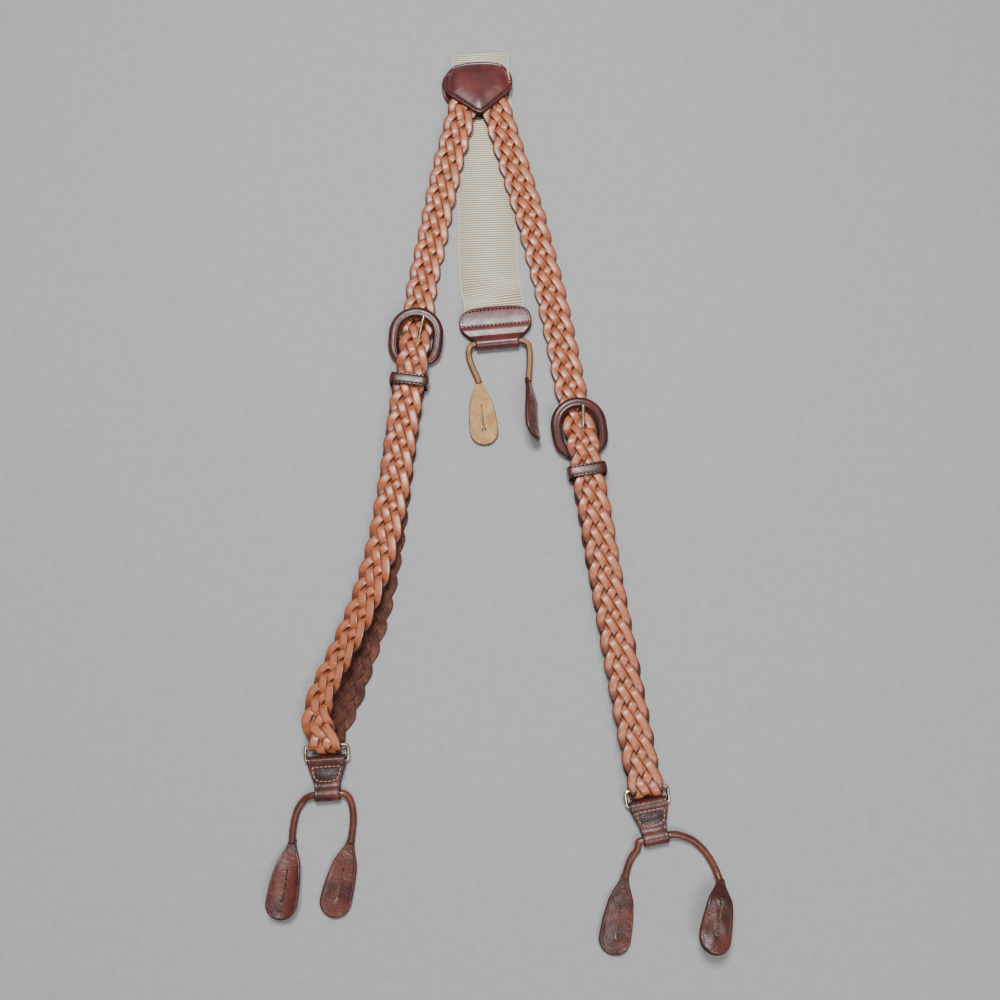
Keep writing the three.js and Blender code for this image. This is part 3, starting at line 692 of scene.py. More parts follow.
class ShaderGroups:
    """The surface effects that several materials share, each built once."""

    def __init__(self) -> None:
        """Builds the groups."""
        self.grain = self._grain()
        self.wear = self._wear()
        self.fibre = self._fibre()

    @staticmethod
    def _grain() -> bpy.types.NodeTree:
        """Pebbled leather grain with pores, soft creases, cloudy colour and large patches, which the smooth
        leathers use for painted highlights.

        Returns:
            The group's tree.
        """
        tree, pen, given, out = new_group(
            "ShaderNodeTree", "LeatherGrain",
            [("Vector", VECTOR, None), ("Scale", FLOAT, 900.0), ("Creases", FLOAT, 0.5)],
            [("Height", FLOAT), ("Mottle", FLOAT), ("Patch", FLOAT)])
        where, scale = given.outputs["Vector"], given.outputs["Scale"]
        cells = pen.node("ShaderNodeTexVoronoi", {"Vector": where, "Scale": scale}, feature="DISTANCE_TO_EDGE")
        pebble = pen.ramp(cells.outputs["Distance"], 0.0, 0.22)
        pores = pen.noise(where, 2600.0, 2.0)
        bent = pen.vector("ADD", where, pen.vector("SCALE", pen.node(
            "ShaderNodeTexNoise", {"Vector": where, "Scale": 90.0}).outputs["Color"], scale=0.012))
        folds = pen.node("ShaderNodeTexVoronoi", {"Vector": bent, "Scale": 130.0}, feature="DISTANCE_TO_EDGE")
        crease = pen.ramp(folds.outputs["Distance"], 0.0, 0.12)
        deep = pen.times(pen.minus(crease, 1.0), given.outputs["Creases"])
        height = pen.plus(pen.times(pebble, 0.5), pen.times(pores, 0.25))
        pen.feed(out.inputs["Height"], pen.plus(height, deep))
        pen.feed(out.inputs["Mottle"], pen.ramp(pen.noise(where, 260.0, 4.0, 0.6), 0.3, 0.7))
        pen.feed(out.inputs["Patch"], pen.ramp(pen.noise(where, 62.0, 2.0), 0.42, 0.66))
        return tree

    @staticmethod
    def _wear() -> bpy.types.NodeTree:
        """A painted or worn edge over a colour, broken up by noise.

        Returns:
            The group's tree.
        """
        tree, pen, given, out = new_group(
            "ShaderNodeTree", "EdgeWear",
            [("Vector", VECTOR, None), ("Colour", COLOUR, None), ("Worn", COLOUR, None), ("Edge", FLOAT, 0.0)],
            [("Colour", COLOUR), ("Mask", FLOAT)])
        speck = pen.ramp(pen.noise(given.outputs["Vector"], 700.0, 4.0, 0.7), 0.25, 0.75, 0.55, 1.25)
        mask = pen.ramp(pen.times(given.outputs["Edge"], speck), 0.15, 0.75)
        pen.feed(out.inputs["Colour"], pen.mix(mask, given.outputs["Colour"], given.outputs["Worn"]))
        pen.feed(out.inputs["Mask"], mask)
        return tree

    @staticmethod
    def _fibre() -> bpy.types.NodeTree:
        """The nap of suede or of a leather's flesh side.

        Returns:
            The group's tree.
        """
        tree, pen, given, out = new_group(
            "ShaderNodeTree", "FibreNap", [("Vector", VECTOR, None), ("Scale", FLOAT, 1800.0)],
            [("Height", FLOAT), ("Tone", FLOAT)])
        where = given.outputs["Vector"]
        fine = pen.node("ShaderNodeTexNoise", {"Vector": where, "Scale": given.outputs["Scale"], "Detail": 5.0,
                                               "Roughness": 0.75, "Distortion": 0.6}).outputs["Fac"]
        pen.feed(out.inputs["Height"], fine)
        broad = pen.noise(where, 210.0, 3.0)
        both = pen.plus(pen.times(fine, 0.5), pen.times(broad, 0.5))
        pen.feed(out.inputs["Tone"], pen.ramp(both, 0.35, 0.65))
        return tree


class Finish:
    """A material being written: its pen, its shader and the piece's own coordinates."""

    def __init__(self, name: str) -> None:
        """Starts a material with an empty Principled shader.

        Args:
            name: name of the material.
        """
        self.material = bpy.data.materials.new(name)
        self.material.use_nodes = True
        self.material.node_tree.nodes.clear()
        self.pen = Pen(self.material.node_tree)
        self.shader = self.pen.node("ShaderNodeBsdfPrincipled")
        self.pen.node("ShaderNodeOutputMaterial", {"Surface": self.shader.outputs[0]})
        self.where = self.pen.node("ShaderNodeTexCoord").outputs["Object"]

    def mark(self, name: str) -> bpy.types.NodeSocket:
        """A value marked on the piece's points."""
        return self.pen.node("ShaderNodeAttribute", attribute_name=name).outputs["Fac"]

    def group(self, tree: bpy.types.NodeTree, inputs: dict[str, Any]) -> bpy.types.Node:
        """Places a shared effect.

        Args:
            tree: the effect.
            inputs: its values or sockets by name.

        Returns:
            The group node.
        """
        made = self.pen.node("ShaderNodeGroup", node_tree=tree)
        for key, value in inputs.items():
            self.pen.feed(made.inputs[key], value)
        return made

    def bump(self, height: Any, strength: float, distance: float) -> None:
        """Feeds the shader's normal from a height in millimetres."""
        made = self.pen.node("ShaderNodeBump", {"Height": height, "Strength": strength,
                                                "Distance": distance * MM})
        self.pen.feed(self.shader.inputs["Normal"], made.outputs[0])

    def set(self, **values: Any) -> bpy.types.Material:
        """Sets or links the shader's sockets.

        Args:
            **values: a value or socket for each, its name written with underscores.

        Returns:
            The material.
        """
        for key, value in values.items():
            self.pen.feed(self.shader.inputs[key.replace("_", " ")], value)
        return self.material


@dataclass(frozen=True)
class SmoothLeather:
    """Waxed leather with its grain side out and painted edges."""

    name: str
    deep: Colour
    base: Colour
    # Colour of the painted highlight patches.
    patch: Colour
    edge: Colour
    grain_scale: float = 900.0
    grain_depth: float = 0.05
    creases: float = 0.4
    roughness: tuple[float, float] = (0.28, 0.5)
    coat: float = 0.25
    fray: Colour | None = None

    def build(self, groups: ShaderGroups) -> bpy.types.Material:
        """The material.

        Args:
            groups: the shared effects.

        Returns:
            The finished material.
        """
        made = Finish(self.name)
        pen = made.pen
        grain = made.group(groups.grain, {"Vector": made.where, "Scale": self.grain_scale,
                                          "Creases": self.creases})
        body = pen.mix(grain.outputs["Mottle"], self.deep, self.base)
        # Painted highlight: large patches scattered by noise are mixed towards the lighter, redder patch colour.
        body = pen.mix(pen.times(grain.outputs["Patch"], 0.6), body, self.patch)
        worn = made.group(groups.wear, {"Vector": made.where, "Colour": body, "Worn": self.edge,
                                        "Edge": made.mark("edge")})
        colour = worn.outputs["Colour"]
        if self.fray is not None:
            tuft = pen.times(made.mark("fray"), pen.ramp(pen.noise(made.where, 1500.0), 0.35, 0.55))
            colour = pen.mix(pen.ramp(tuft, 0.45, 0.8), colour, self.fray)
        made.bump(grain.outputs["Height"], 0.75, self.grain_depth)
        shine = pen.ramp(grain.outputs["Mottle"], 0.0, 1.0, self.roughness[1], self.roughness[0])
        return made.set(Base_Color=colour, Roughness=shine, Coat_Weight=self.coat,
                        Coat_Roughness=0.2, Specular_IOR_Level=0.4)


@dataclass(frozen=True)
class SuedeLeather:
    """Napped tan leather with thin dark edges; rolled into a cord, it is darker and smoother on its sides and
    underside.
    """

    name: str
    low: Colour
    high: Colour
    edge: Colour
    cord: bool = False

    def build(self, groups: ShaderGroups) -> bpy.types.Material:
        """The material.

        Args:
            groups: the shared effects.

        Returns:
            The finished material.
        """
        made = Finish(self.name)
        pen = made.pen
        nap = made.group(groups.fibre, {"Vector": made.where})
        body = pen.mix(nap.outputs["Tone"], self.low, self.high)
        rim = made.mark("edge")
        if not self.cord:
            # Around the slit the suede takes the dark edge colour: partly its cut edge, partly painted shade in
            # the slit.
            rim = pen.math("MAXIMUM", rim, pen.ramp(made.mark("fray"), 0.35, 0.9))
        else:
            # A rolled cord is darker on its sides and underside: all but a band along its top takes the dark edge
            # colour.
            rim = pen.ramp(made.mark("around"), 0.72, 0.93, 1.0, 0.0)
        worn = made.group(groups.wear, {"Vector": made.where, "Colour": body, "Worn": self.edge, "Edge": rim})
        made.bump(nap.outputs["Height"], 0.6, 0.08)
        shine = pen.ramp(worn.outputs["Mask"], 0.0, 1.0, 0.88, 0.42)
        return made.set(Base_Color=worn.outputs["Colour"], Roughness=shine, Sheen_Weight=0.15,
                        Sheen_Roughness=0.5)


@dataclass(frozen=True)
class PlaitLeather:
    """Tan braid strands: glossy and crowned outside, dark and fibrous behind."""

    name: str = "plaited_tan_leather"
    tan: Colour = (0.36, 0.090, 0.033, 1)
    bright: Colour = (0.49, 0.148, 0.062, 1)
    # Painted highlight colour for the tops of the crossings.
    painted_highlight: Colour = (0.64, 0.27, 0.16, 1)
    # Painted shade colour for the gaps between strands.
    gap: Colour = (0.06, 0.008, 0.003, 1)
    flesh_low: Colour = (0.035, 0.011, 0.006, 1)
    flesh_high: Colour = (0.20, 0.068, 0.040, 1)

    def build(self, groups: ShaderGroups) -> bpy.types.Material:
        """The material.

        Args:
            groups: the shared effects.

        Returns:
            The finished material.
        """
        made = Finish(self.name)
        pen = made.pen
        grain = made.group(groups.grain, {"Vector": made.where, "Scale": 1500.0, "Creases": 0.1})
        nap = made.group(groups.fibre, {"Vector": made.where, "Scale": 1500.0})
        body = pen.mix(grain.outputs["Mottle"], self.tan, self.bright)
        body = pen.mix(pen.times(grain.outputs["Patch"], 0.35), body, self.tan)
        side = pen.math("ABSOLUTE", made.mark("crown"))
        # Painted highlight: the raised middles of the strands where they cross over are mixed towards a lighter
        # colour.
        painted_highlight = pen.times(pen.ramp(made.mark("lift"), 0.35, 0.95), pen.ramp(side, 0.2, 0.8, 1.0, 0.0))
        body = pen.mix(pen.times(painted_highlight, 0.4), body, self.painted_highlight)
        # Painted shade: the strand edges, and the stretches that dive under their neighbours, are mixed towards
        # the dark gap colour, on the flesh side too.
        rim = pen.ramp(side, 0.74, 0.94)
        dive = pen.ramp(made.mark("lift"), -0.95, 0.0, 1.0, 0.0)
        shade = pen.math("MAXIMUM", rim, pen.times(dive, 0.7))
        body = pen.mix(shade, body, self.gap)
        flesh = pen.mix(nap.outputs["Tone"], self.flesh_low, self.flesh_high)
        flesh = pen.mix(pen.times(shade, 0.85), flesh, self.gap)
        back = pen.ramp(made.mark("skin"), -0.15, 0.1, 1.0, 0.0)
        height = pen.plus(pen.times(grain.outputs["Height"], 0.35),
                          pen.times(pen.times(nap.outputs["Height"], back), 5.0))
        made.bump(height, 0.7, 0.05)
        gloss = pen.ramp(grain.outputs["Mottle"], 0.0, 1.0, 0.40, 0.27)
        shine = pen.math("MAXIMUM", gloss, pen.times(back, 0.8))
        return made.set(Base_Color=pen.mix(back, body, flesh), Roughness=shine,
                        Coat_Weight=pen.ramp(back, 0.0, 1.0, 0.2, 0.0), Coat_Roughness=0.26,
                        Specular_IOR_Level=0.5)


@dataclass(frozen=True)
class Webbing:
    """Ivory elastic: cotton ribs across it, fine threads along it."""

    name: str = "ivory_elastic"
    light: Colour = (0.93, 0.86, 0.70, 1)
    shade: Colour = (0.76, 0.68, 0.52, 1)
    # Painted shade colour for the grooves between the ribs.
    valley: Colour = (0.30, 0.24, 0.155, 1)

    def build(self, groups: ShaderGroups) -> bpy.types.Material:
        """The material.

        Args:
            groups: the shared effects.

        Returns:
            The finished material.
        """
        made = Finish(self.name)
        pen = made.pen
        nap = made.group(groups.fibre, {"Vector": made.where, "Scale": 2600.0})
        thread = pen.math("SINE", pen.times(made.mark("across"), 2 * math.pi / 0.55))
        thread = pen.ramp(thread, -1.0, 1.0)
        tone = pen.plus(pen.times(nap.outputs["Tone"], 0.5), pen.times(thread, 0.5))
        body = pen.mix(tone, self.shade, self.light)
        # Painted shade: the strip between the ribs takes the dark valley colour; the ribs and the selvedge keep
        # the lighter colours.
        body = pen.mix(pen.ramp(made.mark("rib"), 0.0, 0.8), self.valley, body)
        made.bump(pen.plus(pen.times(thread, 0.7), nap.outputs["Height"]), 0.6, 0.1)
        return made.set(Base_Color=body, Roughness=0.82, Sheen_Weight=0.2, Sheen_Roughness=0.4)


@dataclass(frozen=True)
class Brass:
    """Old brass, bright where it is worn and brown in its hollows."""

    name: str = "antique_brass"
    dull: Colour = (0.26, 0.19, 0.11, 1)
    bright: Colour = (0.78, 0.68, 0.50, 1)

    def build(self) -> bpy.types.Material:
        """The material.

        Returns:
            The finished material.
        """
        made = Finish(self.name)
        pen = made.pen
        cloud = pen.ramp(pen.noise(made.where, 240.0, 5.0, 0.65), 0.35, 0.65)
        scratch = pen.node("ShaderNodeTexNoise", {
            "Vector": pen.vector("MULTIPLY", made.where, (1.0, 9.0, 1.0)), "Scale": 900.0, "Detail": 2.0})
        made.bump(pen.plus(scratch.outputs["Fac"], cloud), 0.25, 0.03)
        return made.set(Base_Color=pen.mix(cloud, self.dull, self.bright), Metallic=1.0,
                        Roughness=pen.ramp(cloud, 0.0, 1.0, 0.46, 0.22))


@dataclass(frozen=True)
class Thread:
    """Waxed sewing thread with its twist."""

    name: str
    colour: Colour
    shade: Colour

    def build(self, groups: ShaderGroups) -> bpy.types.Material:
        """The material.

        Args:
            groups: the shared effects.

        Returns:
            The finished material.
        """
        made = Finish(self.name)
        pen = made.pen
        nap = made.group(groups.fibre, {"Vector": made.where, "Scale": 3200.0})
        made.bump(nap.outputs["Height"], 0.5, 0.06)
        return made.set(Base_Color=pen.mix(nap.outputs["Tone"], self.shade, self.colour), Roughness=0.7,
                        Specular_IOR_Level=0.3)


class Finishes:
    """Every material of the suspenders."""

    def __init__(self) -> None:
        """Builds the shared effects and the materials."""
        groups = ShaderGroups()
        self.plait = PlaitLeather().build(groups)
        self.yoke = SmoothLeather("yoke_leather", (0.070, 0.015, 0.016, 1), (0.125, 0.027, 0.026, 1),
                                  (0.20, 0.036, 0.026, 1), (0.035, 0.009, 0.008, 1), creases=0.12,
                                  grain_scale=1300.0, grain_depth=0.02, roughness=(0.27, 0.4),
                                  coat=0.3).build(groups)
        self.buckle = SmoothLeather("buckle_leather", (0.034, 0.009, 0.008, 1), (0.080, 0.018, 0.014, 1),
                                    (0.15, 0.030, 0.018, 1), (0.02, 0.006, 0.005, 1), grain_scale=1300.0,
                                    grain_depth=0.025, creases=0.2, roughness=(0.26, 0.42),
                                    coat=0.25).build(groups)
        self.tab = SmoothLeather("button_tab_leather", (0.036, 0.008, 0.007, 1), (0.078, 0.017, 0.013, 1),
                                 (0.18, 0.042, 0.028, 1), (0.030, 0.009, 0.008, 1), creases=1.0,
                                 grain_depth=0.10, roughness=(0.30, 0.46), coat=0.25,
                                 fray=(0.42, 0.25, 0.10, 1)).build(groups)
        self.rolled = SmoothLeather("rolled_cord_leather", (0.07, 0.017, 0.011, 1), (0.135, 0.033, 0.019, 1),
                                    (0.22, 0.058, 0.03, 1), (0.05, 0.014, 0.009, 1), creases=0.3,
                                    roughness=(0.28, 0.45)).build(groups)
        self.suede = SuedeLeather("tan_suede", (0.38, 0.19, 0.062, 1), (0.66, 0.40, 0.17, 1),
                                  (0.09, 0.028, 0.014, 1)).build(groups)
        self.suede_cord = SuedeLeather("rolled_suede_cord", (0.30, 0.135, 0.052, 1), (0.48, 0.25, 0.10, 1),
                                       (0.085, 0.022, 0.012, 1), cord=True).build(groups)
        self.webbing = Webbing().build(groups)
        self.brass = Brass().build()
        self.dark_thread = Thread("dark_thread", (0.040, 0.012, 0.010, 1),
                                  (0.018, 0.006, 0.005, 1)).build(groups)
        self.tan_thread = Thread("tan_thread", (0.66, 0.44, 0.30, 1), (0.36, 0.19, 0.11, 1)).build(groups)


# ---- Geometry node trees ----


def grow(rail: bpy.types.Object, tree: bpy.types.NodeTree, name: str, values: dict[str, Any]) -> bpy.types.Object:
    """Runs a node tree on a rail and keeps the result as a plain mesh.

    Args:
        rail: the bare line, removed afterwards.
        tree: the geometry node tree.
        name: name of the new piece.
        values: the tree's inputs by name.

    Returns:
        The new piece.
    """
    modifier = rail.modifiers.new("grow", "NODES")
    modifier.node_group = tree
    for item in tree.interface.items_tree:
        if item.item_type == "SOCKET" and item.in_out == "INPUT" and item.name in values:
            modifier[item.identifier] = values[item.name]
    ready = bpy.context.evaluated_depsgraph_get()
    mesh = bpy.data.meshes.new_from_object(rail.evaluated_get(ready), preserve_all_data_layers=True,
                                           depsgraph=ready)
    mesh.name = name
    rail.modifiers.remove(modifier)
    bare = rail.data
    bpy.data.objects.remove(rail)
    bpy.data.meshes.remove(bare)
    thing = add_object(name, mesh)
    return thing


class PlaitTree:
    """The node tree that weaves five flat strands along a strap."""

    def __init__(self) -> None:
        """Builds the tree."""
        self.tree, pen, given, out = new_group("GeometryNodeTree", "FivePlait", [
            ("Geometry", GEOMETRY, None), ("Strands", "NodeSocketInt", 5), ("Cycle", FLOAT, 0.066),
            ("Lean", FLOAT, 0.63), ("Reach", FLOAT, 0.0072), ("Lift", FLOAT, 0.00095), ("Start", FLOAT, 0.0),
            ("Width", FLOAT, 0.0047), ("Thickness", FLOAT, 0.0017), ("Material", MATERIAL, None),
        ], [("Geometry", GEOMETRY)])
        source = given.outputs
        line = pen.node("GeometryNodeMeshToCurve", {"Mesh": source["Geometry"]})
        copies = pen.node("GeometryNodeDuplicateElements", {"Geometry": line.outputs[0],
                                                            "Amount": source["Strands"]}, domain="SPLINE")
        turn = pen.math("DIVIDE", copies.outputs["Duplicate Index"], source["Strands"])
        along = pen.named("along")
        share = pen.named("share")
        side = pen.named("side", "FLOAT_VECTOR")
        up = pen.named("up", "FLOAT_VECTOR")
        turns = pen.plus(pen.math("DIVIDE", along, source["Cycle"]), turn)
        phase = pen.math("FRACT", pen.plus(turns, source["Start"]))
        lean = source["Lean"]
        first = pen.math("LESS_THAN", phase, lean)
        late = pen.minus(1.0, first)
        out_leg = pen.math("DIVIDE", phase, lean)
        back_leg = pen.math("DIVIDE", pen.minus(phase, lean), pen.minus(1.0, lean))
        part = pen.plus(pen.times(out_leg, first), pen.times(back_leg, late))
        facing = pen.minus(pen.times(first, 2.0), 1.0)
        swing = pen.times(pen.minus(pen.times(part, 2.0), 1.0), facing)
        fourth = pen.times(pen.math("POWER", pen.math("ABSOLUTE", swing), 4.0), 0.18)
        swing = pen.math("DIVIDE", pen.times(swing, pen.minus(1.0, fourth)), 0.82)
        early = pen.times(pen.math("SINE", pen.times(part, math.pi / 0.4)), -1.0)
        middle = pen.times(pen.math("COSINE", pen.times(pen.minus(part, 0.2), 2 * math.pi / 0.4)), -1.0)
        ending = pen.math("COSINE", pen.times(pen.minus(part, 0.8), math.pi / 0.4))
        is_early = pen.math("LESS_THAN", part, 0.2)
        is_ending = pen.math("GREATER_THAN", part, 0.8)
        is_middle = pen.minus(pen.minus(1.0, is_early), is_ending)
        wave = pen.plus(pen.times(early, is_early), pen.times(middle, is_middle))
        wave = pen.plus(wave, pen.times(ending, is_ending))
        squared = pen.times(pen.times(wave, wave), 0.5)
        wave = pen.times(wave, pen.minus(1.5, squared))
        sideways = pen.vector("SCALE", side, scale=pen.times(pen.times(swing, source["Reach"]), share))
        upwards = pen.vector("SCALE", up, scale=pen.times(wave, source["Lift"]))
        moved = pen.node("GeometryNodeSetPosition", {"Geometry": pen.store(copies.outputs[0], "lift", wave),
                                                     "Offset": pen.vector("ADD", sideways, upwards)})
        aimed = pen.node("GeometryNodeSetCurveNormal", {"Curve": moved.outputs[0], "Normal": up}, mode="FREE")
        circle = pen.node("GeometryNodeCurvePrimitiveCircle", {"Resolution": 16, "Radius": 1.0})
        split = pen.node("ShaderNodeSeparateXYZ", {0: pen.node("GeometryNodeInputPosition").outputs[0]})
        squarer = {}
        for axis, power in (("X", 0.8), ("Y", 0.7)):
            value = split.outputs[axis]
            size = pen.math("POWER", pen.math("ABSOLUTE", value), power)
            squarer[axis] = pen.times(pen.math("SIGN", value), size)
        high, wide = squarer["X"], squarer["Y"]
        marked = pen.store(pen.store(circle.outputs[0], "crown", wide), "skin", high)
        flat = pen.node("GeometryNodeSetPosition", {
            "Geometry": marked,
            "Position": pen.node("ShaderNodeCombineXYZ", {"X": high, "Y": wide, "Z": 0.0}).outputs[0]})
        size = pen.node("ShaderNodeCombineXYZ", {
            "X": pen.times(source["Thickness"], 0.5),
            "Y": pen.times(source["Width"], 0.5), "Z": 1.0})
        profile = pen.node("GeometryNodeTransform", {"Geometry": flat.outputs[0], "Scale": size.outputs[0]})
        swept = pen.node("GeometryNodeCurveToMesh", {"Curve": aimed.outputs[0],
                                                     "Profile Curve": profile.outputs[0], "Fill Caps": True})
        pen.dress(swept.outputs[0], given, out)


class SpacedTree:
    """A node tree that sets one small shape at an even spacing along lines, such as stitches or ribs."""

    def __init__(self, name: str, sides: int, rings: int, across: bool) -> None:
        """Builds the tree.

        Args:
            name: name of the tree.
            sides: faces around the shape.
            rings: faces along it.
            across: True lays it across the line, False along it.
        """
        self.tree, pen, given, out = new_group("GeometryNodeTree", name, [
            ("Geometry", GEOMETRY, None), ("Spacing", FLOAT, 0.003), ("Length", FLOAT, 0.002),
            ("Width", FLOAT, 0.0006), ("Height", FLOAT, 0.0004), ("Material", MATERIAL, None),
        ], [("Geometry", GEOMETRY)])
        source = given.outputs
        line = pen.node("GeometryNodeMeshToCurve", {"Mesh": source["Geometry"]})
        dots = pen.node("GeometryNodeCurveToPoints", {"Curve": line.outputs[0], "Length": source["Spacing"]},
                        mode="LENGTH")
        up = pen.named("up", "FLOAT_VECTOR")
        forward = dots.outputs["Tangent"]
        if across:
            forward = pen.vector("CROSS_PRODUCT", forward, up)
        aim = pen.node("FunctionNodeAlignRotationToVector", {"Vector": forward}, axis="X")
        level = pen.node("FunctionNodeAlignRotationToVector", {"Rotation": aim.outputs[0], "Vector": up},
                         axis="Z", pivot_axis="X")
        if across:
            bar = pen.node("GeometryNodeMeshCylinder", {"Vertices": sides, "Side Segments": rings,
                                                        "Radius": 0.5, "Depth": 1.0})
        else:
            bar = pen.node("GeometryNodeMeshUVSphere", {"Segments": sides, "Rings": rings, "Radius": 0.5})
        shape = pen.node("GeometryNodeTransform", {"Geometry": bar.outputs[0],
                                                   "Rotation": (0.0, math.pi / 2, 0.0)})
        size = pen.node("ShaderNodeCombineXYZ", {"X": source["Length"], "Y": source["Width"],
                                                 "Z": source["Height"]})
        sized = pen.node("GeometryNodeTransform", {"Geometry": shape.outputs[0], "Scale": size.outputs[0]})
        split = pen.node("ShaderNodeSeparateXYZ", {0: pen.node("GeometryNodeInputPosition").outputs[0]})
        across_mark = pen.times(split.outputs["X"], 1000.0)
        ribbed = pen.store(pen.store(sized.outputs[0], "across", across_mark), "rib", 1.0)
        placed = pen.node("GeometryNodeInstanceOnPoints", {
            "Points": dots.outputs["Points"], "Instance": ribbed, "Rotation": level.outputs[0]})
        pen.dress(placed.outputs[0], given, out)


@dataclass
class Sewing:
    """Collects the stitch lines of each body and sews them at the end."""

    tree: bpy.types.NodeTree
    runs: dict[tuple[str, str], list[tuple[Array, Array]]] = field(default_factory=dict)

    def line(self, body: str, thread: str, points: Array, ups: Array, closed: bool = False) -> None:
        """Keeps one stitch line.

        Args:
            body: the body it is sewn into.
            thread: "dark" or "tan".
            points: its points in millimetres.
            ups: the surface's outward direction at each point, or one for all.
            closed: True if it returns to its first point.
        """
        up = np.broadcast_to(np.asarray(ups, float), points.shape)
        if closed:
            points, up = np.vstack([points, points[:1]]), np.vstack([up, up[:1]])
        self.runs.setdefault((body, thread), []).append((points, up))

    def sew(self, finishes: Finishes) -> list[bpy.types.Object]:
        """Makes the stitches, one piece for each body and thread.

        Args:
            finishes: the materials.

        Returns:
            The new pieces.
        """
        made = []
        for (body, thread), runs in self.runs.items():
            name = f"stitches_{thread}_{body}"
            material = finishes.tan_thread if thread == "tan" else finishes.dark_thread
            piece = grow(rail_mesh(name, runs), self.tree, name, {
                "Spacing": 2.35 * MM, "Length": 1.9 * MM, "Width": 0.62 * MM, "Height": 0.5 * MM,
                "Material": material})
            made.append(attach(piece, body))
        return made


# ---- Elastic ----


@dataclass
class Elastic:
    """The ivory elastic: one ribbed strip from the rear patch, round its fold and into the yoke."""

    rear: Place
    fold: Place
    width: float = 38.0
    thick: float = 1.6
    fold_radius: float = 2.1
    rib_spacing: float = 1.62

    def spine(self) -> Spine:
        """The strip's centre line.

        Returns:
            The line from the rear patch to its end in the yoke.
        """
        bend = 0.8 + self.fold_radius
        knots = [self.rear.at(0, 9, -1.2), self.rear.at(0, 20, -1.2), self.rear.at(0, 29, -1.2),
                 [-5.8, 114, 1.4], [-6.9, 132, 0.95], [-8.2, 180, 0.95], [-10, 230, 0.95],
                 self.fold.at(0, -20, -self.fold_radius)]
        knots += quarter_turn(self.fold, self.fold_radius, -bend, -1)
        knots += quarter_turn(self.fold, self.fold_radius, -bend, 1)[::-1]
        knots += [self.fold.at(0, -10, 2.2), self.fold.at(0, -18, 2.7), self.fold.at(0, -25, 2.7)]
        return Spine(knots, self.fold.heading, 0.8)

    def build(self, finishes: Finishes, ribs: bpy.types.NodeTree) -> list[bpy.types.Object]:
        """The strip and its ribs.

        Args:
            finishes: the materials.
            ribs: the node tree that spaces the ribs.

        Returns:
            Both pieces, bending at the fold.
        """
        spine = self.spine()
        half = self.width / 2
        across = np.array([-half, -half + 0.4, -half + 1.1, -half + 1.6, -12, -6, 0, 6, 12, half - 1.6,
                           half - 1.1, half - 0.4, half])
        bead = 0.55 + 0.2 * bell(np.abs(across), half - 0.6, 0.5)
        bead[[0, -1]] = 0.25
        loft = Loft()
        for point, side, up in zip(spine.points, spine.sides, spine.ups):
            top = point + across[:, None] * side + bead[:, None] * up
            low = point + across[::-1, None] * side - bead[::-1, None] * up
            marks = np.concatenate([across, across[::-1]])
            loft.add(np.vstack([top, low]), across=marks, rib=np.where(np.abs(marks) > half - 0.5, 0.8, 0.0))
        strip = make_piece("elastic_strip", [loft], finishes.webbing)
        bars = grow(spine.rail("elastic_ribs"), ribs, "elastic_ribs", {
            "Spacing": self.rib_spacing * MM, "Length": (self.width - 0.9) * MM, "Width": 1.42 * MM,
            "Height": 1.75 * MM, "Material": finishes.webbing})
        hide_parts("elastic_rear", "elastic_upper")
        for piece in (strip, bars):
            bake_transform(piece)
        LOG.info("elastic: %.0f mm long, folded at the yoke", spine.length)
        return [strip, bars]


# ---- Yoke ----


def bezier(points: Sequence[Sequence[float]], count: int) -> Array:
    """Samples of a quadratic or cubic curve.

    Args:
        points: its three or four control points.
        count: number of samples.

    Returns:
        The samples, without the last point.
    """
    p = np.array(points, float)
    t = np.linspace(0, 1, count, endpoint=False)[:, None]
    if len(p) == 3:
        return (1 - t) ** 2 * p[0] + 2 * t * (1 - t) * p[1] + t**2 * p[2]
    return (1 - t) ** 3 * p[0] + 3 * t * (1 - t) ** 2 * p[1] + 3 * t**2 * (1 - t) * p[2] + t**3 * p[3]


def even_loop(points: Array, count: int) -> Array:
    """A closed outline sampled evenly, starting at its first point."""
    whole = np.vstack([points, points[:1]])
    return resample(whole, np.linspace(0, distances(whole)[-1], count, endpoint=False))


def inset_loop(outline: Array, centre: Array, inset: float) -> Array:
    """An outline moved towards its centre.

    Args:
        outline: its points.
        centre: the point it shrinks to.
        inset: distance from its edge.

    Returns:
        The smaller outline, with as many points.
    """
    ahead, behind = np.roll(outline, -1, 0), np.roll(outline, 1, 0)
    tangent = unit(ahead - behind)
    normal = np.stack([-tangent[:, 1], tangent[:, 0]], axis=1)
    inward = centre - outline
    reach = np.linalg.norm(inward, axis=1)
    slope = np.clip(np.abs(np.sum(unit(inward) * normal, axis=1)), 0.5, 1.0)
    share = np.clip(inset / slope / reach, 0, 0.97)
    return outline + inward * share[:, None]


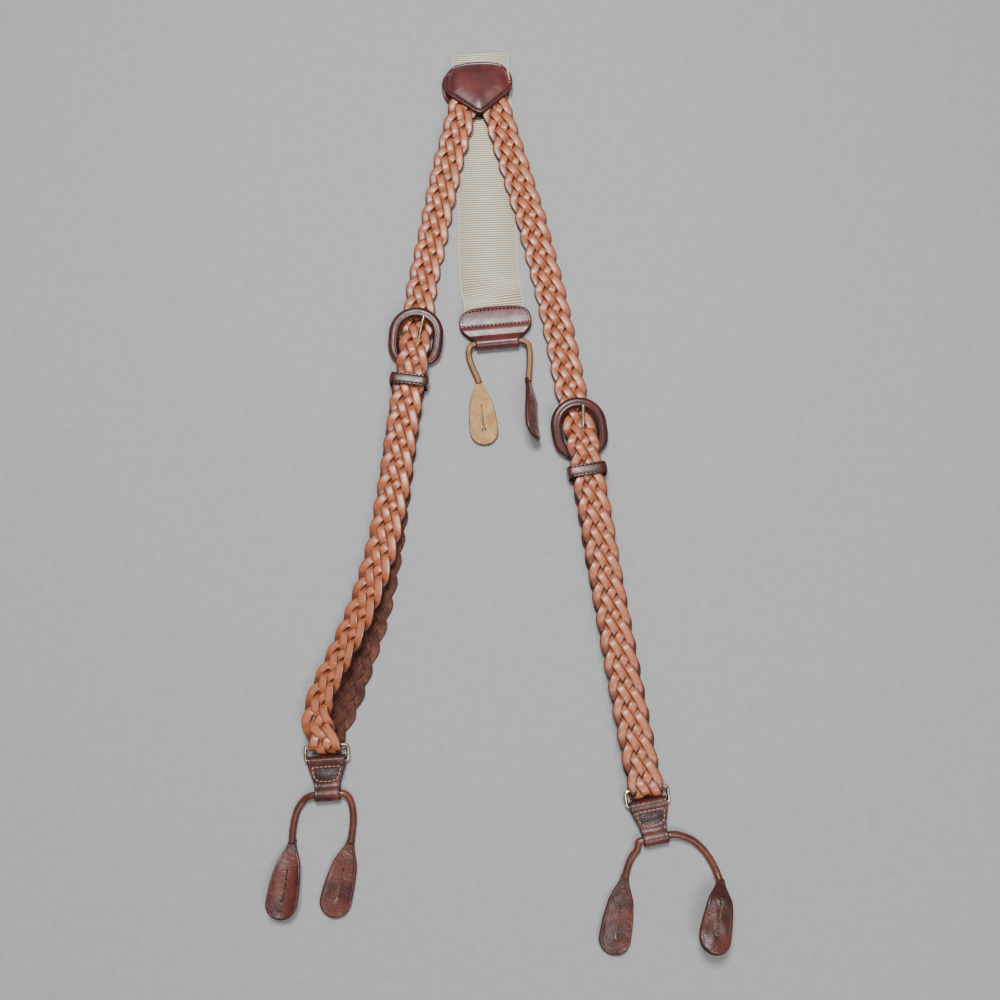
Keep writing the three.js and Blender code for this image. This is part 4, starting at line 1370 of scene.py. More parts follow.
@dataclass
class Yoke:
    """Two shields of leather, sewn together over the ends of the straps and the elastic."""

    place: Place
    width: float = 46.0
    length: float = 39.5
    front_z: float = 7.85
    back_z: float = 2.05
    leather: float = 1.6

    def outline(self) -> Array:
        """The shield's outline.

        Returns:
            Its points, starting at its tip at the origin.
        """
        half, length = self.width / 2, self.length
        right = [bezier([(0, 0), (half * 0.12, 0), (half * 0.3, length * 0.1)], 8),
                 bezier([(half * 0.3, length * 0.1), (half * 0.57, length * 0.23),
                         (half * 0.84, length * 0.36)], 14),
                 bezier([(half * 0.84, length * 0.36), (half, length * 0.45), (half, length * 0.64)], 14),
                 bezier([(half, length * 0.64), (half, length * 0.92), (half * 0.62, length), (0, length)], 26)]
        side = np.vstack(right)
        mirror = side[1:][::-1] * np.array([-1, 1])
        return even_loop(np.vstack([side, [[0, length]], mirror]), 120)

    def shield(self, base: float, dome: float, top: float, corner: float,
               outline: Array) -> tuple[Loft, Array]:
        """One shield.

        Args:
            base: height of its underside.
            dome: how far it swells in the middle.
            top: how far its rim bends up where the elastic leaves it.
            corner: how much further its rim bends beside the elastic.
            outline: its outline.

        Returns:
            The skin and its seam line.
        """
        centre = np.array([0.0, self.length * 0.55])
        insets = (0.0, 0.12, 0.35, 0.7, 1.1, 1.5, 1.8, 2.1, 2.4, 2.8, 3.4, 4.4, 6.0, 8.0, 10.5, 13.0, 15.5)
        loft, seam = Loft(), np.zeros((0, 3))

        def bend(loop: Array, inset: float) -> Array:
            """How far a loop is bent up beside the elastic."""
            upper = ease((loop[:, 1] / self.length - 0.38) / 0.2) * (1 - ease((inset - 1.0) / 7.0))
            return upper * (top + corner * ease((np.abs(loop[:, 0]) - 15.5) / 4.5))

        for inset in insets[::-1]:
            loop = inset_loop(outline, centre, inset)
            bow = math.sqrt(1 - (1 - min(inset / 0.8, 1)) ** 2)
            loft.add(np.column_stack([loop, base + 0.8 - 0.8 * bow + bend(loop, inset)]),
                     edge=1 - float(ease(inset / 1.3)))
        for inset in insets[1:]:
            loop = inset_loop(outline, centre, inset)
            bow = math.sqrt(1 - (1 - min(inset / 0.8, 1)) ** 2)
            height = base + 0.8 + (self.leather - 0.8) * bow + dome * float(ease((inset - 0.9) / 9.0)) ** 0.8
            height = height - 0.5 * float(bell(inset, 2.1, 0.5)) + bend(loop, inset)
            lumps = rough(np.column_stack([loop, loop[:, 0] * 0]), 9.0, 2.0)
            height = height + 0.16 * lumps * float(ease(inset / 5))
            loft.add(np.column_stack([loop, height]), edge=1 - float(ease(inset / 1.3)))
            if inset == 2.1:
                seam = np.column_stack([loop, height + 0.16])
        return loft, seam

    def build(self, finishes: Finishes, sewing: Sewing) -> list[bpy.types.Object]:
        """Both shields and their seam.

        Args:
            finishes: the materials.
            sewing: takes the stitch lines.

        Returns:
            The two pieces.
        """
        front_skin, seam = self.shield(self.front_z - 0.15, 1.3, -1.2, -1.7, self.outline())
        front = make_piece("yoke_front_shield", [front_skin], finishes.yoke, self.place)
        back_skin, _ = self.shield(self.back_z, 0.0, 0.2, 0.9, self.outline() + np.array([-1.3, -0.7]))
        back = make_piece("yoke_back_shield", [back_skin], finishes.yoke, self.place)
        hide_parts("yoke_front")
        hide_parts("yoke_back")
        sewing.line("yoke", "dark", self.place.put(seam), self.place.up(), closed=True)
        for piece in (front, back):
            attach(piece, "yoke")
        LOG.info("yoke: two shields with one seam")
        return [front, back]


# ---- Rear patch ----


@dataclass
class RearPatch:
    """One strip of leather folded over the elastic's end and round the rear cord."""

    place: Place
    thick: float = 1.6
    tunnel: float = 3.1

    @staticmethod
    def half_width(y: float) -> float:
        """Half the patch's width.

        Args:
            y: height above the tunnel.

        Returns:
            The half width there.
        """
        heights = [-4, 0, 2, 4, 6, 8, 10, 12.5, 15.5, 18.5, 20.5, 22, 23, 23.6, 24.0, 24.3]
        halves = [13.5, 13.5, 14.2, 16.0, 18.6, 20.6, 22.0, 22.75, 22.7, 22.0, 20.9, 19.0, 16.4, 13.4, 9.5, 5.0]
        return float(np.interp(y, heights, halves))

    def build(self, finishes: Finishes, sewing: Sewing) -> bpy.types.Object:
        """The patch.

        Args:
            finishes: the materials.
            sewing: takes the stitch lines.

        Returns:
            The piece.
        """
        top = [(24.3, 0.3), (23.4, 0.62), (21.5, 0.8), (18.5, 0.9), (15, 0.9), (12.9, 0.78), (11.7, 0.5),
               (10.5, 0.75), (8.6, 0.95), (6.8, 0.78), (5.2, 0.62), (3.9, 1.0)]
        around = arc(self.tunnel, range(42, 271, 12))
        bottom = [(y, -3.1) for y in (1.5, 4, 7, 10, 13, 16, 18.5, 20.5, 22, 23, 23.6, 24.0, 24.3)]
        path = smooth_line([(0.0, y, z) for y, z in top + around + bottom], 0.55)
        front = np.arange(len(path)) < int(np.argmin(path[:, 1]))
        tangent = unit(np.gradient(path, axis=0))
        outs = -np.cross(tangent, np.array([1.0, 0.0, 0.0]))
        sides = facing_x(len(path))
        half = np.array([self.half_width(max(p[1], -4)) for p in path])
        y = path[:, 1]
        puff = np.where(front, 1.1 * ease((y - 12.2) / 4.0) * ease((24.4 - y) / 4.0)
                        + 0.3 * ease((y - 5.0) / 2.5) * ease((11.4 - y) / 2.5), 0.0)
        loft = sweep_strip(path, sides, outs, half, self.thick, puff, 0.3, False)
        patch = make_piece("rear_patch_leather", [loft], finishes.yoke, self.place)
        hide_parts("rear_patch")
        up = self.place.up()
        xs = np.linspace(-19.4, 19.4, 60)
        straight = np.column_stack([xs, 11.7 + 0.0 * xs, 1.5 - 0.25 * (xs / 20) ** 4])
        sewing.line("back_strap", "dark", self.place.put(straight), up)
        left = np.array([(-(self.half_width(y) - 2.1), y, 1.72) for y in np.linspace(12.4, 21.2, 30)])
        right = left[::-1] * np.array([-1, 1, 1])
        arch_x = np.linspace(left[-1, 0], right[0, 0], 40)[1:-1]
        bow = 1 - np.abs(arch_x / left[-1, 0]) ** 2.6
        arch = np.column_stack([arch_x, 21.2 + 0.9 * bow, 2.0 + 0.25 * bow])
        sewing.line("back_strap", "dark", self.place.put(np.vstack([left, arch, right])), up)
        LOG.info("rear patch: folded leather with two seams")
        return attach(patch, "back_strap")


# ---- Rolled cords and button tabs ----


@dataclass
class RolledCord:
    """A strip of leather rolled into a cord, from one button tab through its tunnel to the other."""

    name: str
    node: str
    body: str
    knots: Sequence[Sequence[float]]
    diameter: float = 4.0

    def build(self, material: bpy.types.Material, slot: Slot) -> bpy.types.Object:
        """The cord.

        Args:
            material: its leather.
            slot: not used.

        Returns:
            The cord.
        """
        spine = Spine(self.knots, step=0.8, level=True)

        def seam(angle: Array) -> Array:
            """The radius factor, with a groove where the leather meets itself underneath."""
            return 1 - 0.16 * bell(np.abs(np.angle(np.exp(1j * (angle - 1.5 * math.pi)))), 0, 0.28)

        radius = self.diameter / 2 * (1 - 0.02 * np.sin(spine.along * 1.7))
        cord = make_piece(self.name, [round_skin(spine, radius, 20, seam)], material)
        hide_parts(self.node)
        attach(cord, self.body)
        LOG.info("%s: %.0f mm from tab to tab", self.name, spine.length)
        return cord


@dataclass
class ButtonTab:
    """A leather paddle with a keyhole slit for the trouser button."""

    name: str
    node: str
    body: str
    place: Place
    cup: float = 0.0
    curl: float = 0.0
    wave: float = 0.0
    crumple: float = 0.25
    seed: float = 0.0
    hole: float = 1.0
    length: float = 39.5
    width: float = 17.5
    thick: float = 2.6

    def outline(self) -> Array:
        """The paddle's outline.

        Returns:
            Its points, starting at the middle of its neck.
        """
        half, neck, wide = self.width / 2, 2.5, self.width / 2 - self.length
        arc = np.radians(np.linspace(180, 270, 24, endpoint=False))
        left = np.vstack([
            [[0, 2.6]],
            bezier([(-neck + 0.35, 2.6), (-neck, -4.0), (-half * 0.78, -6.5), (-half * 0.86, -15)], 28),
            bezier([(-half * 0.86, -15), (-half, -22), (-half, wide)], 24),
            np.column_stack([half * np.cos(arc), wide + half * np.sin(arc)])])
        mirror = left[1:][::-1] * np.array([-1, 1])
        return even_loop(np.vstack([left, [[0, -self.length]], mirror]), 96)

    def keyhole(self) -> Array:
        """The slit and the round hole at its low end.

        Returns:
            Their outline, starting at the middle of the slit's top.
        """
        low, slit, radius = 10.0 - self.length, 0.26, self.hole
        meet = math.asin(slit / radius)
        arc = np.linspace(math.pi / 2 + meet, 3 * math.pi / 2, 20)
        left = np.vstack([[[0, low + 16], [-slit, low + 15.7], [-slit * 0.8, low + 10], [-slit, low + 4]],
                          np.column_stack([radius * np.cos(arc), low + radius * np.sin(arc)])])
        return even_loop(np.vstack([left, left[1:-1][::-1] * np.array([-1, 1])]), 96)

    def bend(self, points: Array) -> Array:
        """Gives points the paddle's lasting bends: cupped edges, a curled tip and creases.

        Args:
            points: points of the flat paddle.

        Returns:
            The raised points.
        """
        x, y = points[:, 0], points[:, 1]
        down = np.clip(-y / self.length, 0, 1)
        lift = self.cup * (x / (self.width / 2)) ** 2 * ease(down * 2.5)
        lift = lift + self.curl * down**3 + self.wave * np.sin(down * 2 * math.pi) * ease(down * 3)
        flat = np.column_stack([x, y, 0 * x])
        lift = lift + self.crumple * (1 + rough(flat, 6.5, self.seed + 3)) * 0.5 * ease(down * 4)
        bent = points.copy()
        bent[:, 2] += lift
        return bent

    def build(self, material: bpy.types.Material, slot: Slot) -> bpy.types.Object:
        """The tab.

        Args:
            material: its leather.
            slot: not used.

        Returns:
            The piece.
        """
        outer, inner = self.outline(), self.keyhole()
        half = self.thick / 2
        stops = (0.0, 0.03, 0.08, 0.2, 0.36, 0.52, 0.66, 0.78, 0.86, 0.92, 0.96, 0.985, 1.0)
        loft = Loft(closed=True)
        for face in (1, -1):
            for stop in stops if face > 0 else stops[::-1][1:-1]:
                loop = inner + (outer - inner) * stop
                gap = np.linalg.norm(outer - inner, axis=1)
                rim = np.sqrt(1 - (1 - np.clip(gap * (1 - stop) / 0.9, 0, 1)) ** 2)
                lip = np.sqrt(1 - (1 - np.clip(gap * stop / 0.4, 0, 1)) ** 2) * 0.85 + 0.15
                raised = 0.14 * bell(gap * (1 - stop), 1.2, 0.6) - 0.10 * bell(gap * (1 - stop), 2.4, 0.7)
                height = face * half * rim * lip + (raised if face > 0 else 0)
                worn = np.maximum(1 - ease(gap * (1 - stop) / 0.9), 0)
                fray = 1 - ease(gap * stop / 0.8)
                loft.add(self.bend(np.column_stack([loop, height])), edge=worn, fray=fray)
        tab = make_piece(self.name, [loft], material, self.place)
        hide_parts(self.node)
        LOG.info("%s: paddle with a keyhole slit", self.name)
        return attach(tab, self.body)


# ---- One side of the suspenders ----


@dataclass
class Strap:
    """One braided strap: from the yoke, through the buckle, round the ring and back to the bar."""

    side: str
    root: Place
    front: Sequence[Sequence[float]]
    back: Sequence[Sequence[float]]
    bar: Place
    fold_heading: float
    fold_share: float
    start: float
    fold_radius: float = 3.1

    def spine(self) -> Spine:
        """The whole strap's centre line.

        Returns:
            The line from inside the yoke, round the ring and back to the bar.
        """
        knots = [self.root.at(0, 24.2), self.root.at(0, 12)]
        knots += [list(k) for k in self.front]
        knots += quarter_turn(self.bar, -self.fold_radius, 0, 1, self.fold_share)
        knots += quarter_turn(self.bar, -self.fold_radius, 0, -1, self.fold_share)[::-1]
        knots += [list(k) for k in self.back]
        return Spine(knots, self.fold_heading, 1.1)

    def build(self, finishes: Finishes, plait: bpy.types.NodeTree) -> bpy.types.Object:
        """The braid.

        Args:
            finishes: the materials.
            plait: the node tree that weaves the strands.

        Returns:
            The piece.
        """
        spine = self.spine()
        name = f"braid_{self.side}"
        braid = grow(spine.rail(name), plait, name, {
            "Strands": 5, "Cycle": 66 * MM, "Lean": 0.63, "Reach": 7.3 * MM, "Lift": 0.86 * MM,
            "Start": self.start, "Width": 5.6 * MM, "Thickness": 1.6 * MM,
            "Material": finishes.plait})
        nodes = ("root", "upper", "middle", "buckled", "lower", "return")
        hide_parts(*(f"strap_{part}_{self.side}" for part in nodes))
        above, below = self.root.at(0, 7.0), self.root.at(0, -7.0)
        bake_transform(braid)
        LOG.info("%s: five strands, %.0f mm from yoke to bar", name, spine.length)
        return braid


@dataclass
class Buckle:
    """A leather-covered horseshoe with a brass bar, a prong, and the leather loop that holds the bar."""

    side: str
    place: Place
    width: float = 34.2
    length: float = 35.0
    rim: float = 6.6
    thick: float = 4.8
    foot: float = 23.4
    bar_y: float = -14.8
    skew: float = 9.0

    def middle(self) -> Array:
        """The rim's centre line.

        Returns:
            Its points from foot to foot.
        """
        half, end, foot = ((size - self.rim) / 2 for size in (self.width, self.length, self.foot))
        low = 0.6 - self.length / 2
        parts = [bezier([(-foot, low), (-half, low + 4.4), (-half, low + 9), (-half, 0)], 30),
                 bezier([(-half, 0), (-half, end * 0.58), (-half * 0.56, end), (0, end)], 30),
                 bezier([(0, end), (half * 0.56, end), (half, end * 0.58), (half, 0)], 30),
                 bezier([(half, 0), (half, low + 9), (half, low + 4.4), (foot, low)], 30), [[foot, low]]]
        return np.vstack(parts)

    def cover(self, finishes: Finishes) -> bpy.types.Object:
        """The padded rim, with a ridge by its inner edge and a seam outside it.

        Args:
            finishes: the materials.

        Returns:
            The piece.
        """
        line = self.middle()
        tangent = unit(np.gradient(line, axis=0))
        outward = np.stack([-tangent[:, 1], tangent[:, 0]], axis=1)
        angle = np.linspace(0, 2 * math.pi, 40, endpoint=False)
        a, b = np.cos(angle), np.sin(angle)
        reach = distances(line)
        loft = Loft()
        for point, out, far in zip(line, outward, reach):
            ends = min(far, reach[-1] - far)
            size = 0.62 + 0.38 * float(ease(ends / 7.0))
            flat = np.sign(a) * np.abs(a) ** 0.9 * self.rim / 2 * size
            high = np.sign(b) * np.abs(b) ** 0.85 * self.thick / 2 * (0.75 + 0.25 * size)
            top = b > 0.05
            high = high + np.where(top, 0.42 * bell(a, -0.5, 0.17) - 0.32 * bell(a, -0.8, 0.09)
                                   - 0.30 * bell(a, 0.80, 0.08) - 0.14 * bell(a, -0.18, 0.14), 0)
            edge = 0.8 * bell(a, 0.80, 0.08) + 0.8 * bell(a, -0.8, 0.09)
            loop = np.column_stack([point[0] + flat * out[0], point[1] + flat * out[1], high])
            loft.add(loop, edge=np.where(top, edge, 0.2))
        piece = make_piece(f"buckle_rim_{self.side}", [loft], finishes.buckle, self.place)
        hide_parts(f"buckle_cover_{self.side}")
        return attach(piece, f"strap_{self.side}")

    def loop(self, finishes: Finishes) -> bpy.types.Object:
        """The leather turned round the bar on both sides of the prong.

        Args:
            finishes: the materials.

        Returns:
            The piece.
        """
        angle = np.radians(np.arange(0, 360, 12))
        lofts = []
        for middle in (-4.15, 4.15):
            path = np.column_stack([0 * angle + middle, self.bar_y + 2.3 * np.cos(angle),
                                    2.3 * np.sin(angle)])
            outs = np.column_stack([0 * angle, np.cos(angle), np.sin(angle)])
            sides = facing_x(len(path))
            lofts.append(sweep_strip(path, sides, outs, np.full(len(path), 2.15), 1.4, 0.0, 0.0, True))
        piece = make_piece(f"bar_loop_{self.side}", lofts, finishes.tab, self.place)
        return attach(piece, f"strap_{self.side}")

    def prong(self, finishes: Finishes) -> bpy.types.Object:
        """The wire prong, hooked round the bar and resting on the rim.

        Args:
            finishes: the materials.

        Returns:
            The piece.
        """
        hook, wire = 2.35, 1.0
        rise = self.thick / 2 + wire + 0.3
        lean = math.tan(math.radians(self.skew))
        knots = [[0.0, self.bar_y - y, z] for y, z in arc(hook, (200, 240, 280, 320, 0, 40, 75))]
        reaches = ((4, hook - 0.5), (12, hook - 0.35), (20, rise - 0.35), (27, rise))
        knots += [[r * lean, self.bar_y + r, z] for r, z in reaches]
        spine = Spine(knots, step=0.5)
        tip = np.minimum(spine.along, spine.length - spine.along)
        radius = wire * np.sqrt(np.clip(1 - (1 - np.clip(tip / 0.9, 0, 1)) ** 2, 0.02, 1))
        piece = make_piece(f"prong_wire_{self.side}", [round_skin(spine, radius, 14)], finishes.brass,
                           self.place)
        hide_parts(f"prong_{self.side}")
        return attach(piece, f"prong_{self.side}")

    def build(self, finishes: Finishes) -> list[bpy.types.Object]:
        """The rim, loop and prong, with brass on the bar that is already there.

        Args:
            finishes: the materials.

        Returns:
            The new pieces.
        """
        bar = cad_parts[f"buckle_bar_{self.side}"]
        for slot in bar.material_slots:
            slot.material = finishes.brass
        LOG.info("buckle_%s: covered rim, bar loop and prong", self.side)
        return [self.cover(finishes), self.loop(finishes), self.prong(finishes)]


@dataclass
class Keeper:
    """A leather band around both layers of the strap."""

    side: str
    place: Place
    half: float = 11.3
    low: float = 0.75
    high: float = 10.2
    width: float = 7.2
    thick: float = 1.4

    def build(self, finishes: Finishes, sewing: Sewing) -> bpy.types.Object:
        """The band and its two seams.

        Args:
            finishes: the materials.
            sewing: takes the stitch lines.

        Returns:
            The piece.
        """
        h, low, high = self.half, self.low, self.high
        corner = 2.2
        rough_path = [(0, low), (h * 0.55, low), (h - corner, low), (h - 0.45, low + 0.6), (h, low + corner),
                      (h, 5.4), (h, high - corner), (h - 0.55, high - 0.7), (h - corner, high - 0.1),
                      (h * 0.5, high + 0.25), (0, high + 0.35), (-h * 0.5, high + 0.25),
                      (-h + corner, high - 0.1), (-h + 0.55, high - 0.7), (-h, high - corner), (-h, 5.4),
                      (-h, low + corner),
                      (-h + 0.45, low + 0.6), (-h + corner, low), (-h * 0.55, low)]
        loop = smooth_loop(rough_path, 0.6)
        path = np.column_stack([loop[:, 0], 0 * loop[:, 0], loop[:, 1]])
        tangent = ring_tangents(path)
        outs = np.cross(tangent, np.array([0.0, 1.0, 0.0]))
        outs *= np.sign(np.sum(outs * (path - np.array([0, 0, 5.5])), axis=1, keepdims=True))
        sides = np.tile([0.0, 1.0, 0.0], (len(path), 1))
        band = sweep_strip(path, sides, outs, np.full(len(path), self.width / 2), self.thick, 0.12, 0.22,
                           True, 1.0)
        piece = make_piece(f"keeper_band_{self.side}", [band], finishes.buckle, self.place)
        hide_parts(f"keeper_{self.side}")
        body = f"keeper_{self.side}"
        xs = np.linspace(-h + 1.6, h - 1.6, 40)
        for y in (-2.6, 2.6):
            z = high + self.thick / 2 + 0.32 - 0.35 * (xs / h) ** 2 - 0.35 * np.abs(xs / h) ** 8
            line = np.column_stack([xs, 0 * xs + y, z])
            sewing.line(body, "dark", self.place.put(line), self.place.up())
        LOG.info("keeper_%s: stitched band", self.side)
        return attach(piece, body)


@dataclass
class Ring:
    """A rounded brass loop between the strap's fold and the end tab."""

    side: str
    place: Place
    width: float = 26.0
    length: float = 10.6
    wire: float = 2.0

    def build(self, finishes: Finishes) -> bpy.types.Object:
        """The ring.

        Args:
            finishes: the materials.

        Returns:
            The piece.
        """
        w, l = (self.width - self.wire) / 2, (self.length - self.wire) / 2
        c = 1.5
        right = [(w * 0.5, l), (w - c, l), (w - c * 0.3, l - c * 0.3), (w, l - c), (w, 0), (w, -l + c),
                 (w - c * 0.3, -l + c * 0.3), (w - c, -l), (w * 0.5, -l)]
        corners = [(0, l), *right, (0, -l), *((-x, y) for x, y in right[::-1])]
        path = smooth_loop(corners, 0.7) + np.array([0, -l, 0])
        tangent = ring_tangents(path)
        outs = np.cross(tangent, np.array([0.0, 0.0, 1.0]))
        angle = np.linspace(0, 2 * math.pi, 14, endpoint=False)
        loft = Loft(closed=True)
        for point, out in zip(path, outs):
            size = self.wire / 2
            loft.add(point + size * np.cos(angle)[:, None] * out
                     + size * np.sin(angle)[:, None] * np.array([0.0, 0.0, 1.0]))
        piece = make_piece(f"ring_wire_{self.side}", [loft], finishes.brass, self.place)
        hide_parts(f"ring_{self.side}")
        LOG.info("ring_%s: brass loop", self.side)
        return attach(piece, f"ring_{self.side}")


@dataclass
class EndTab:
    """Leather folded over the ring's lower bar and the rolled cord, sewn shut between them."""

    side: str
    place: Place
    top: float = 10.7
    bottom: float = 7.1
    length: float = 18.2
    thick: float = 1.4

    def build(self, finishes: Finishes, sewing: Sewing) -> bpy.types.Object:
        """The tab and its stitched box.

        Args:
            finishes: the materials.
            sewing: takes the stitch lines.

        Returns:
            The piece.
        """
        ring = arc(2.45, (120, 75, 30, -15, -60, -120))
        cord = arc(3.15, range(-60, -301, -40), -self.length)
        low = [(-4.2, -0.95), (-8.0, -0.9), (-12.0, -0.9), (-14.4, -1.3)]
        high = [(-14.3, 1.45), (-12.4, 0.95), (-9.0, 1.15), (-5.5, 1.05), (-3.3, 1.25)]
        loop = smooth_loop(ring + low + cord + high, 0.5)
        path = np.column_stack([0 * loop[:, 0], loop[:, 0], loop[:, 1]])
        tangent = ring_tangents(path)
        outs = -np.cross(tangent, np.array([1.0, 0.0, 0.0]))
        if np.sum(outs[:, 2] * path[:, 2]) < 0:
            outs = -outs
        sides = facing_x(len(path))
        share = ease((-path[:, 1] - 1.5) / 12.5) * 0.5 + np.clip((-path[:, 1] - 1.5) / 12.5, 0, 1) * 0.5
        half = self.top + (self.bottom - self.top) * share
        puff = 0.55 * bell(path[:, 1], -8.0, 3.6) * (path[:, 2] > 0)
        band = sweep_strip(path, sides, outs, half, self.thick, puff, 0.12, True, 1.6)
        # The top inside the stitched box is made darker: its edge mark is raised there, so it takes the dark edge
        # colour.
        for i, loop_points in enumerate(band.loops):
            inside = (ease((-3.4 - loop_points[:, 1]) / 0.8) * ease((loop_points[:, 1] + 10.6) / 0.8)
                      * ease((7.2 - np.abs(loop_points[:, 0])) / 0.8) * (loop_points[:, 2] > 0))
            band.marks["edge"][i] = np.maximum(band.marks["edge"][i], 0.85 * inside)
        piece = make_piece(f"end_tab_leather_{self.side}", [band], finishes.tab, self.place)
        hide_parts(f"end_tab_{self.side}")
        box = smooth_loop([(-7.6, -3.6), (-3.5, -3.2), (3.5, -3.2), (7.6, -3.6), (7.3, -6.5), (6.0, -9.6),
                           (3.2, -10.9), (-3.2, -10.9), (-6.0, -9.6), (-7.3, -6.5)], 0.7)
        rise = 2.12 + 0.5 * bell(box[:, 1], -8.0, 3.6) * ease((8.4 - np.abs(box[:, 0])) / 4)
        line = np.column_stack([box[:, :2], rise])
        sewing.line(f"end_tab_{self.side}", "tan", self.place.put(line), self.place.up(), closed=True)
        LOG.info("end_tab_%s: folded leather with a stitched box", self.side)
        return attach(piece, f"end_tab_{self.side}")


# ---- Camera, floor and light ----


class Studio:
    """The camera, the pale floor and the soft lights."""

    def camera(self) -> None:
        """Looks down on the floor, tilted towards the yoke."""
        data = bpy.data.cameras.new("camera")
        data.lens, data.sensor_width = 36.0, 36.0
        data.clip_start = 0.01
        thing = add_object("camera", data)
        thing.location = (0.000685, -0.17325, 0.585)
        thing.rotation_euler = (math.radians(14), 0, 0)
        bpy.context.scene.camera = thing

    def floor(self) -> None:
        """A plain pale floor with the faintest mottle."""
        made = Finish("pale_floor")
        pen = made.pen
        cloud = pen.noise(made.where, 160.0, 4.0, 0.6)
        made.bump(cloud, 0.25, 0.6)
        tone = pen.mix(cloud, (0.36, 0.355, 0.36, 1), (0.47, 0.465, 0.47, 1))
        material = made.set(Base_Color=tone, Roughness=0.9)
        mesh = bpy.data.meshes.new("floor")
        half = 3.0
        mesh.from_pydata([(-half, -half, 0), (half, -half, 0), (half, half, 0), (-half, half, 0)], [],
                         [(0, 1, 2, 3)])
        mesh.materials.append(material)
        add_object("floor", mesh)

    def light(self, name: str, place: Sequence[float], power: float, size: float,
              target: Sequence[float]) -> None:
        """One soft panel of light.

        Args:
            name: its name.
            place: where it hangs, in metres.
            power: its power in watts.
            size: the panel's side in metres.
            target: the point it faces.
        """
        data = bpy.data.lights.new(name, "AREA")
        data.energy, data.size, data.shape = power, size, "SQUARE"
        thing = add_object(name, data)
        thing.location = place
        aim = Vector(target) - Vector(place)
        thing.rotation_euler = aim.to_track_quat("-Z", "Y").to_euler()

    def build(self) -> None:
        """Sets the whole studio."""
        self.camera()
        self.floor()
        self.light("key_light", (-0.08, 0.36, 1.2), 16.5, 0.42, (0, 0.02, 0))
        self.light("fill_light", (0.35, -0.75, 1.1), 7.0, 0.6, (0, -0.05, 0))
        world = bpy.data.worlds.new("studio")
        world.use_nodes = True
        back = world.node_tree.nodes["Background"]
        back.inputs["Color"].default_value = (1.0, 0.98, 0.97, 1)
        back.inputs["Strength"].default_value = 0.2
        bpy.context.scene.world = world
        LOG.info("studio: camera, floor and two soft lights")


# ---- The suspenders: places and routes in millimetres, scaled to metres where each piece is made ----


FOLD = Place(-13.1, 281.7, 3.05, 3.5)
REAR = Place(-0.9, 72.5, 3.9, 5.3)
RIGHT_BAR = Place(82, -194.5, 5.1, 8)
RING_TILT = -8.02
LEFT_END = Place(-96.703, -179.511, 3.9, 4)
RIGHT_END = Place(83.185, -202.933, 3.9, 11)

REAR_CORD = [[-12.3, 46.4, 2.1], [-13.6, 50.6, 2.1], [-16.2, 56.5, 2.1], [-18.3, 62.6, 2.2], [-18.7, 67.2, 3],
             [-17.6, 70, 3.6], REAR.at(-15, 0), REAR.at(-12, 0), REAR.at(0, 0), REAR.at(12, 0),
             REAR.at(15, 0), [17.6, 72.3, 3.6], [18.9, 69, 3], [19.2, 63.5, 2.3], [19, 57, 3], [18.5, 51, 4.6],
             [18, 46.4, 5.8]]
LEFT_CORD = [[-114.4, -223.5, 2.1], [-114.4, -218.8, 2.1], [-114, -214, 2.1], [-113.3, -209.6, 2.1],
             [-112, -205.5, 2.1], [-108.4, -200.4, 2.6], LEFT_END.at(-9.6, -18.4, -0.3),
             LEFT_END.at(-6.5, -18.2), LEFT_END.at(0, -18.2), LEFT_END.at(6.5, -18.2),
             LEFT_END.at(9.4, -18.5, -0.3), [-83.2, -200, 3], [-81.4, -206, 2.1], [-81, -210, 2.1],
             [-81, -214, 2.1], [-81.4, -218.8, 2.1], [-82.2, -223.5, 2.1]]
RIGHT_CORD = [[69.2, -242.2, 2.1], [71, -236, 2.1], [73.6, -230.6, 2.1], [76.4, -226.9, 2.8],
              RIGHT_END.at(-9.6, -18.4, -0.2), RIGHT_END.at(-6.5, -18.2), RIGHT_END.at(0, -18.2),
              RIGHT_END.at(6.5, -18.2), RIGHT_END.at(10.4, -18.2), [102.5, -220.1, 3.5], [107.6, -222.3, 2.8],
              [112.6, -226.6, 2.2], [116.6, -232, 2.1], [119.3, -237.5, 2.4], [121, -242.9, 4]]

LEFT_FRONT = [[-26.2, 228, 5.75], [-29.6, 213, 5.35], [-33.3, 197, 4.4], [-36.9, 178, 4.0], [-40.2, 160, 2.6],
              [-44, 138, 2], [-47.5, 118.7, 2], [-49.4, 105, 2.9], [-50.3, 92, 3.7], [-50.9, 84.5, 3.8],
              [-51.5, 76.7, 5.4], [-52.3, 67.5, 9.1], [-52.9, 61, 9.1], [-53.7, 55, 7.6], [-54.3, 51, 7.4],
              [-55.1, 46.4, 7.4], [-57, 30, 7.4], [-58.9, 14, 7.4], [-61.1, -5, 6.4], [-63.3, -23, 6.1],
              [-69.3, -59.5, 7, 8], [-79.6, -94.9, 8.4, 20], [-91.8, -123.6, 10, 29],
              [-100.3, -144, 10.5, 28, 0.98], [-102.2, -157.5, 9.8, 14, 0.94], [-99.2, -165.5, 8.5, 2, 0.92]]
LEFT_BACK = [[-95.9, -165, 2, 0, 0.9], [-88, -145, 2], [-80.2, -120, 2], [-73, -95, 2], [-67.2, -62, 2],
             [-63.5, -30, 2], [-61.4, -8, 2.3], [-58.9, 14, 3.5], [-57, 30, 3.5], [-55.1, 46.4, 3.5],
             [-54.2, 52, 3.5, 0, 0.9], [-53.4, 58.4, 3.6, 0, 0.66]]
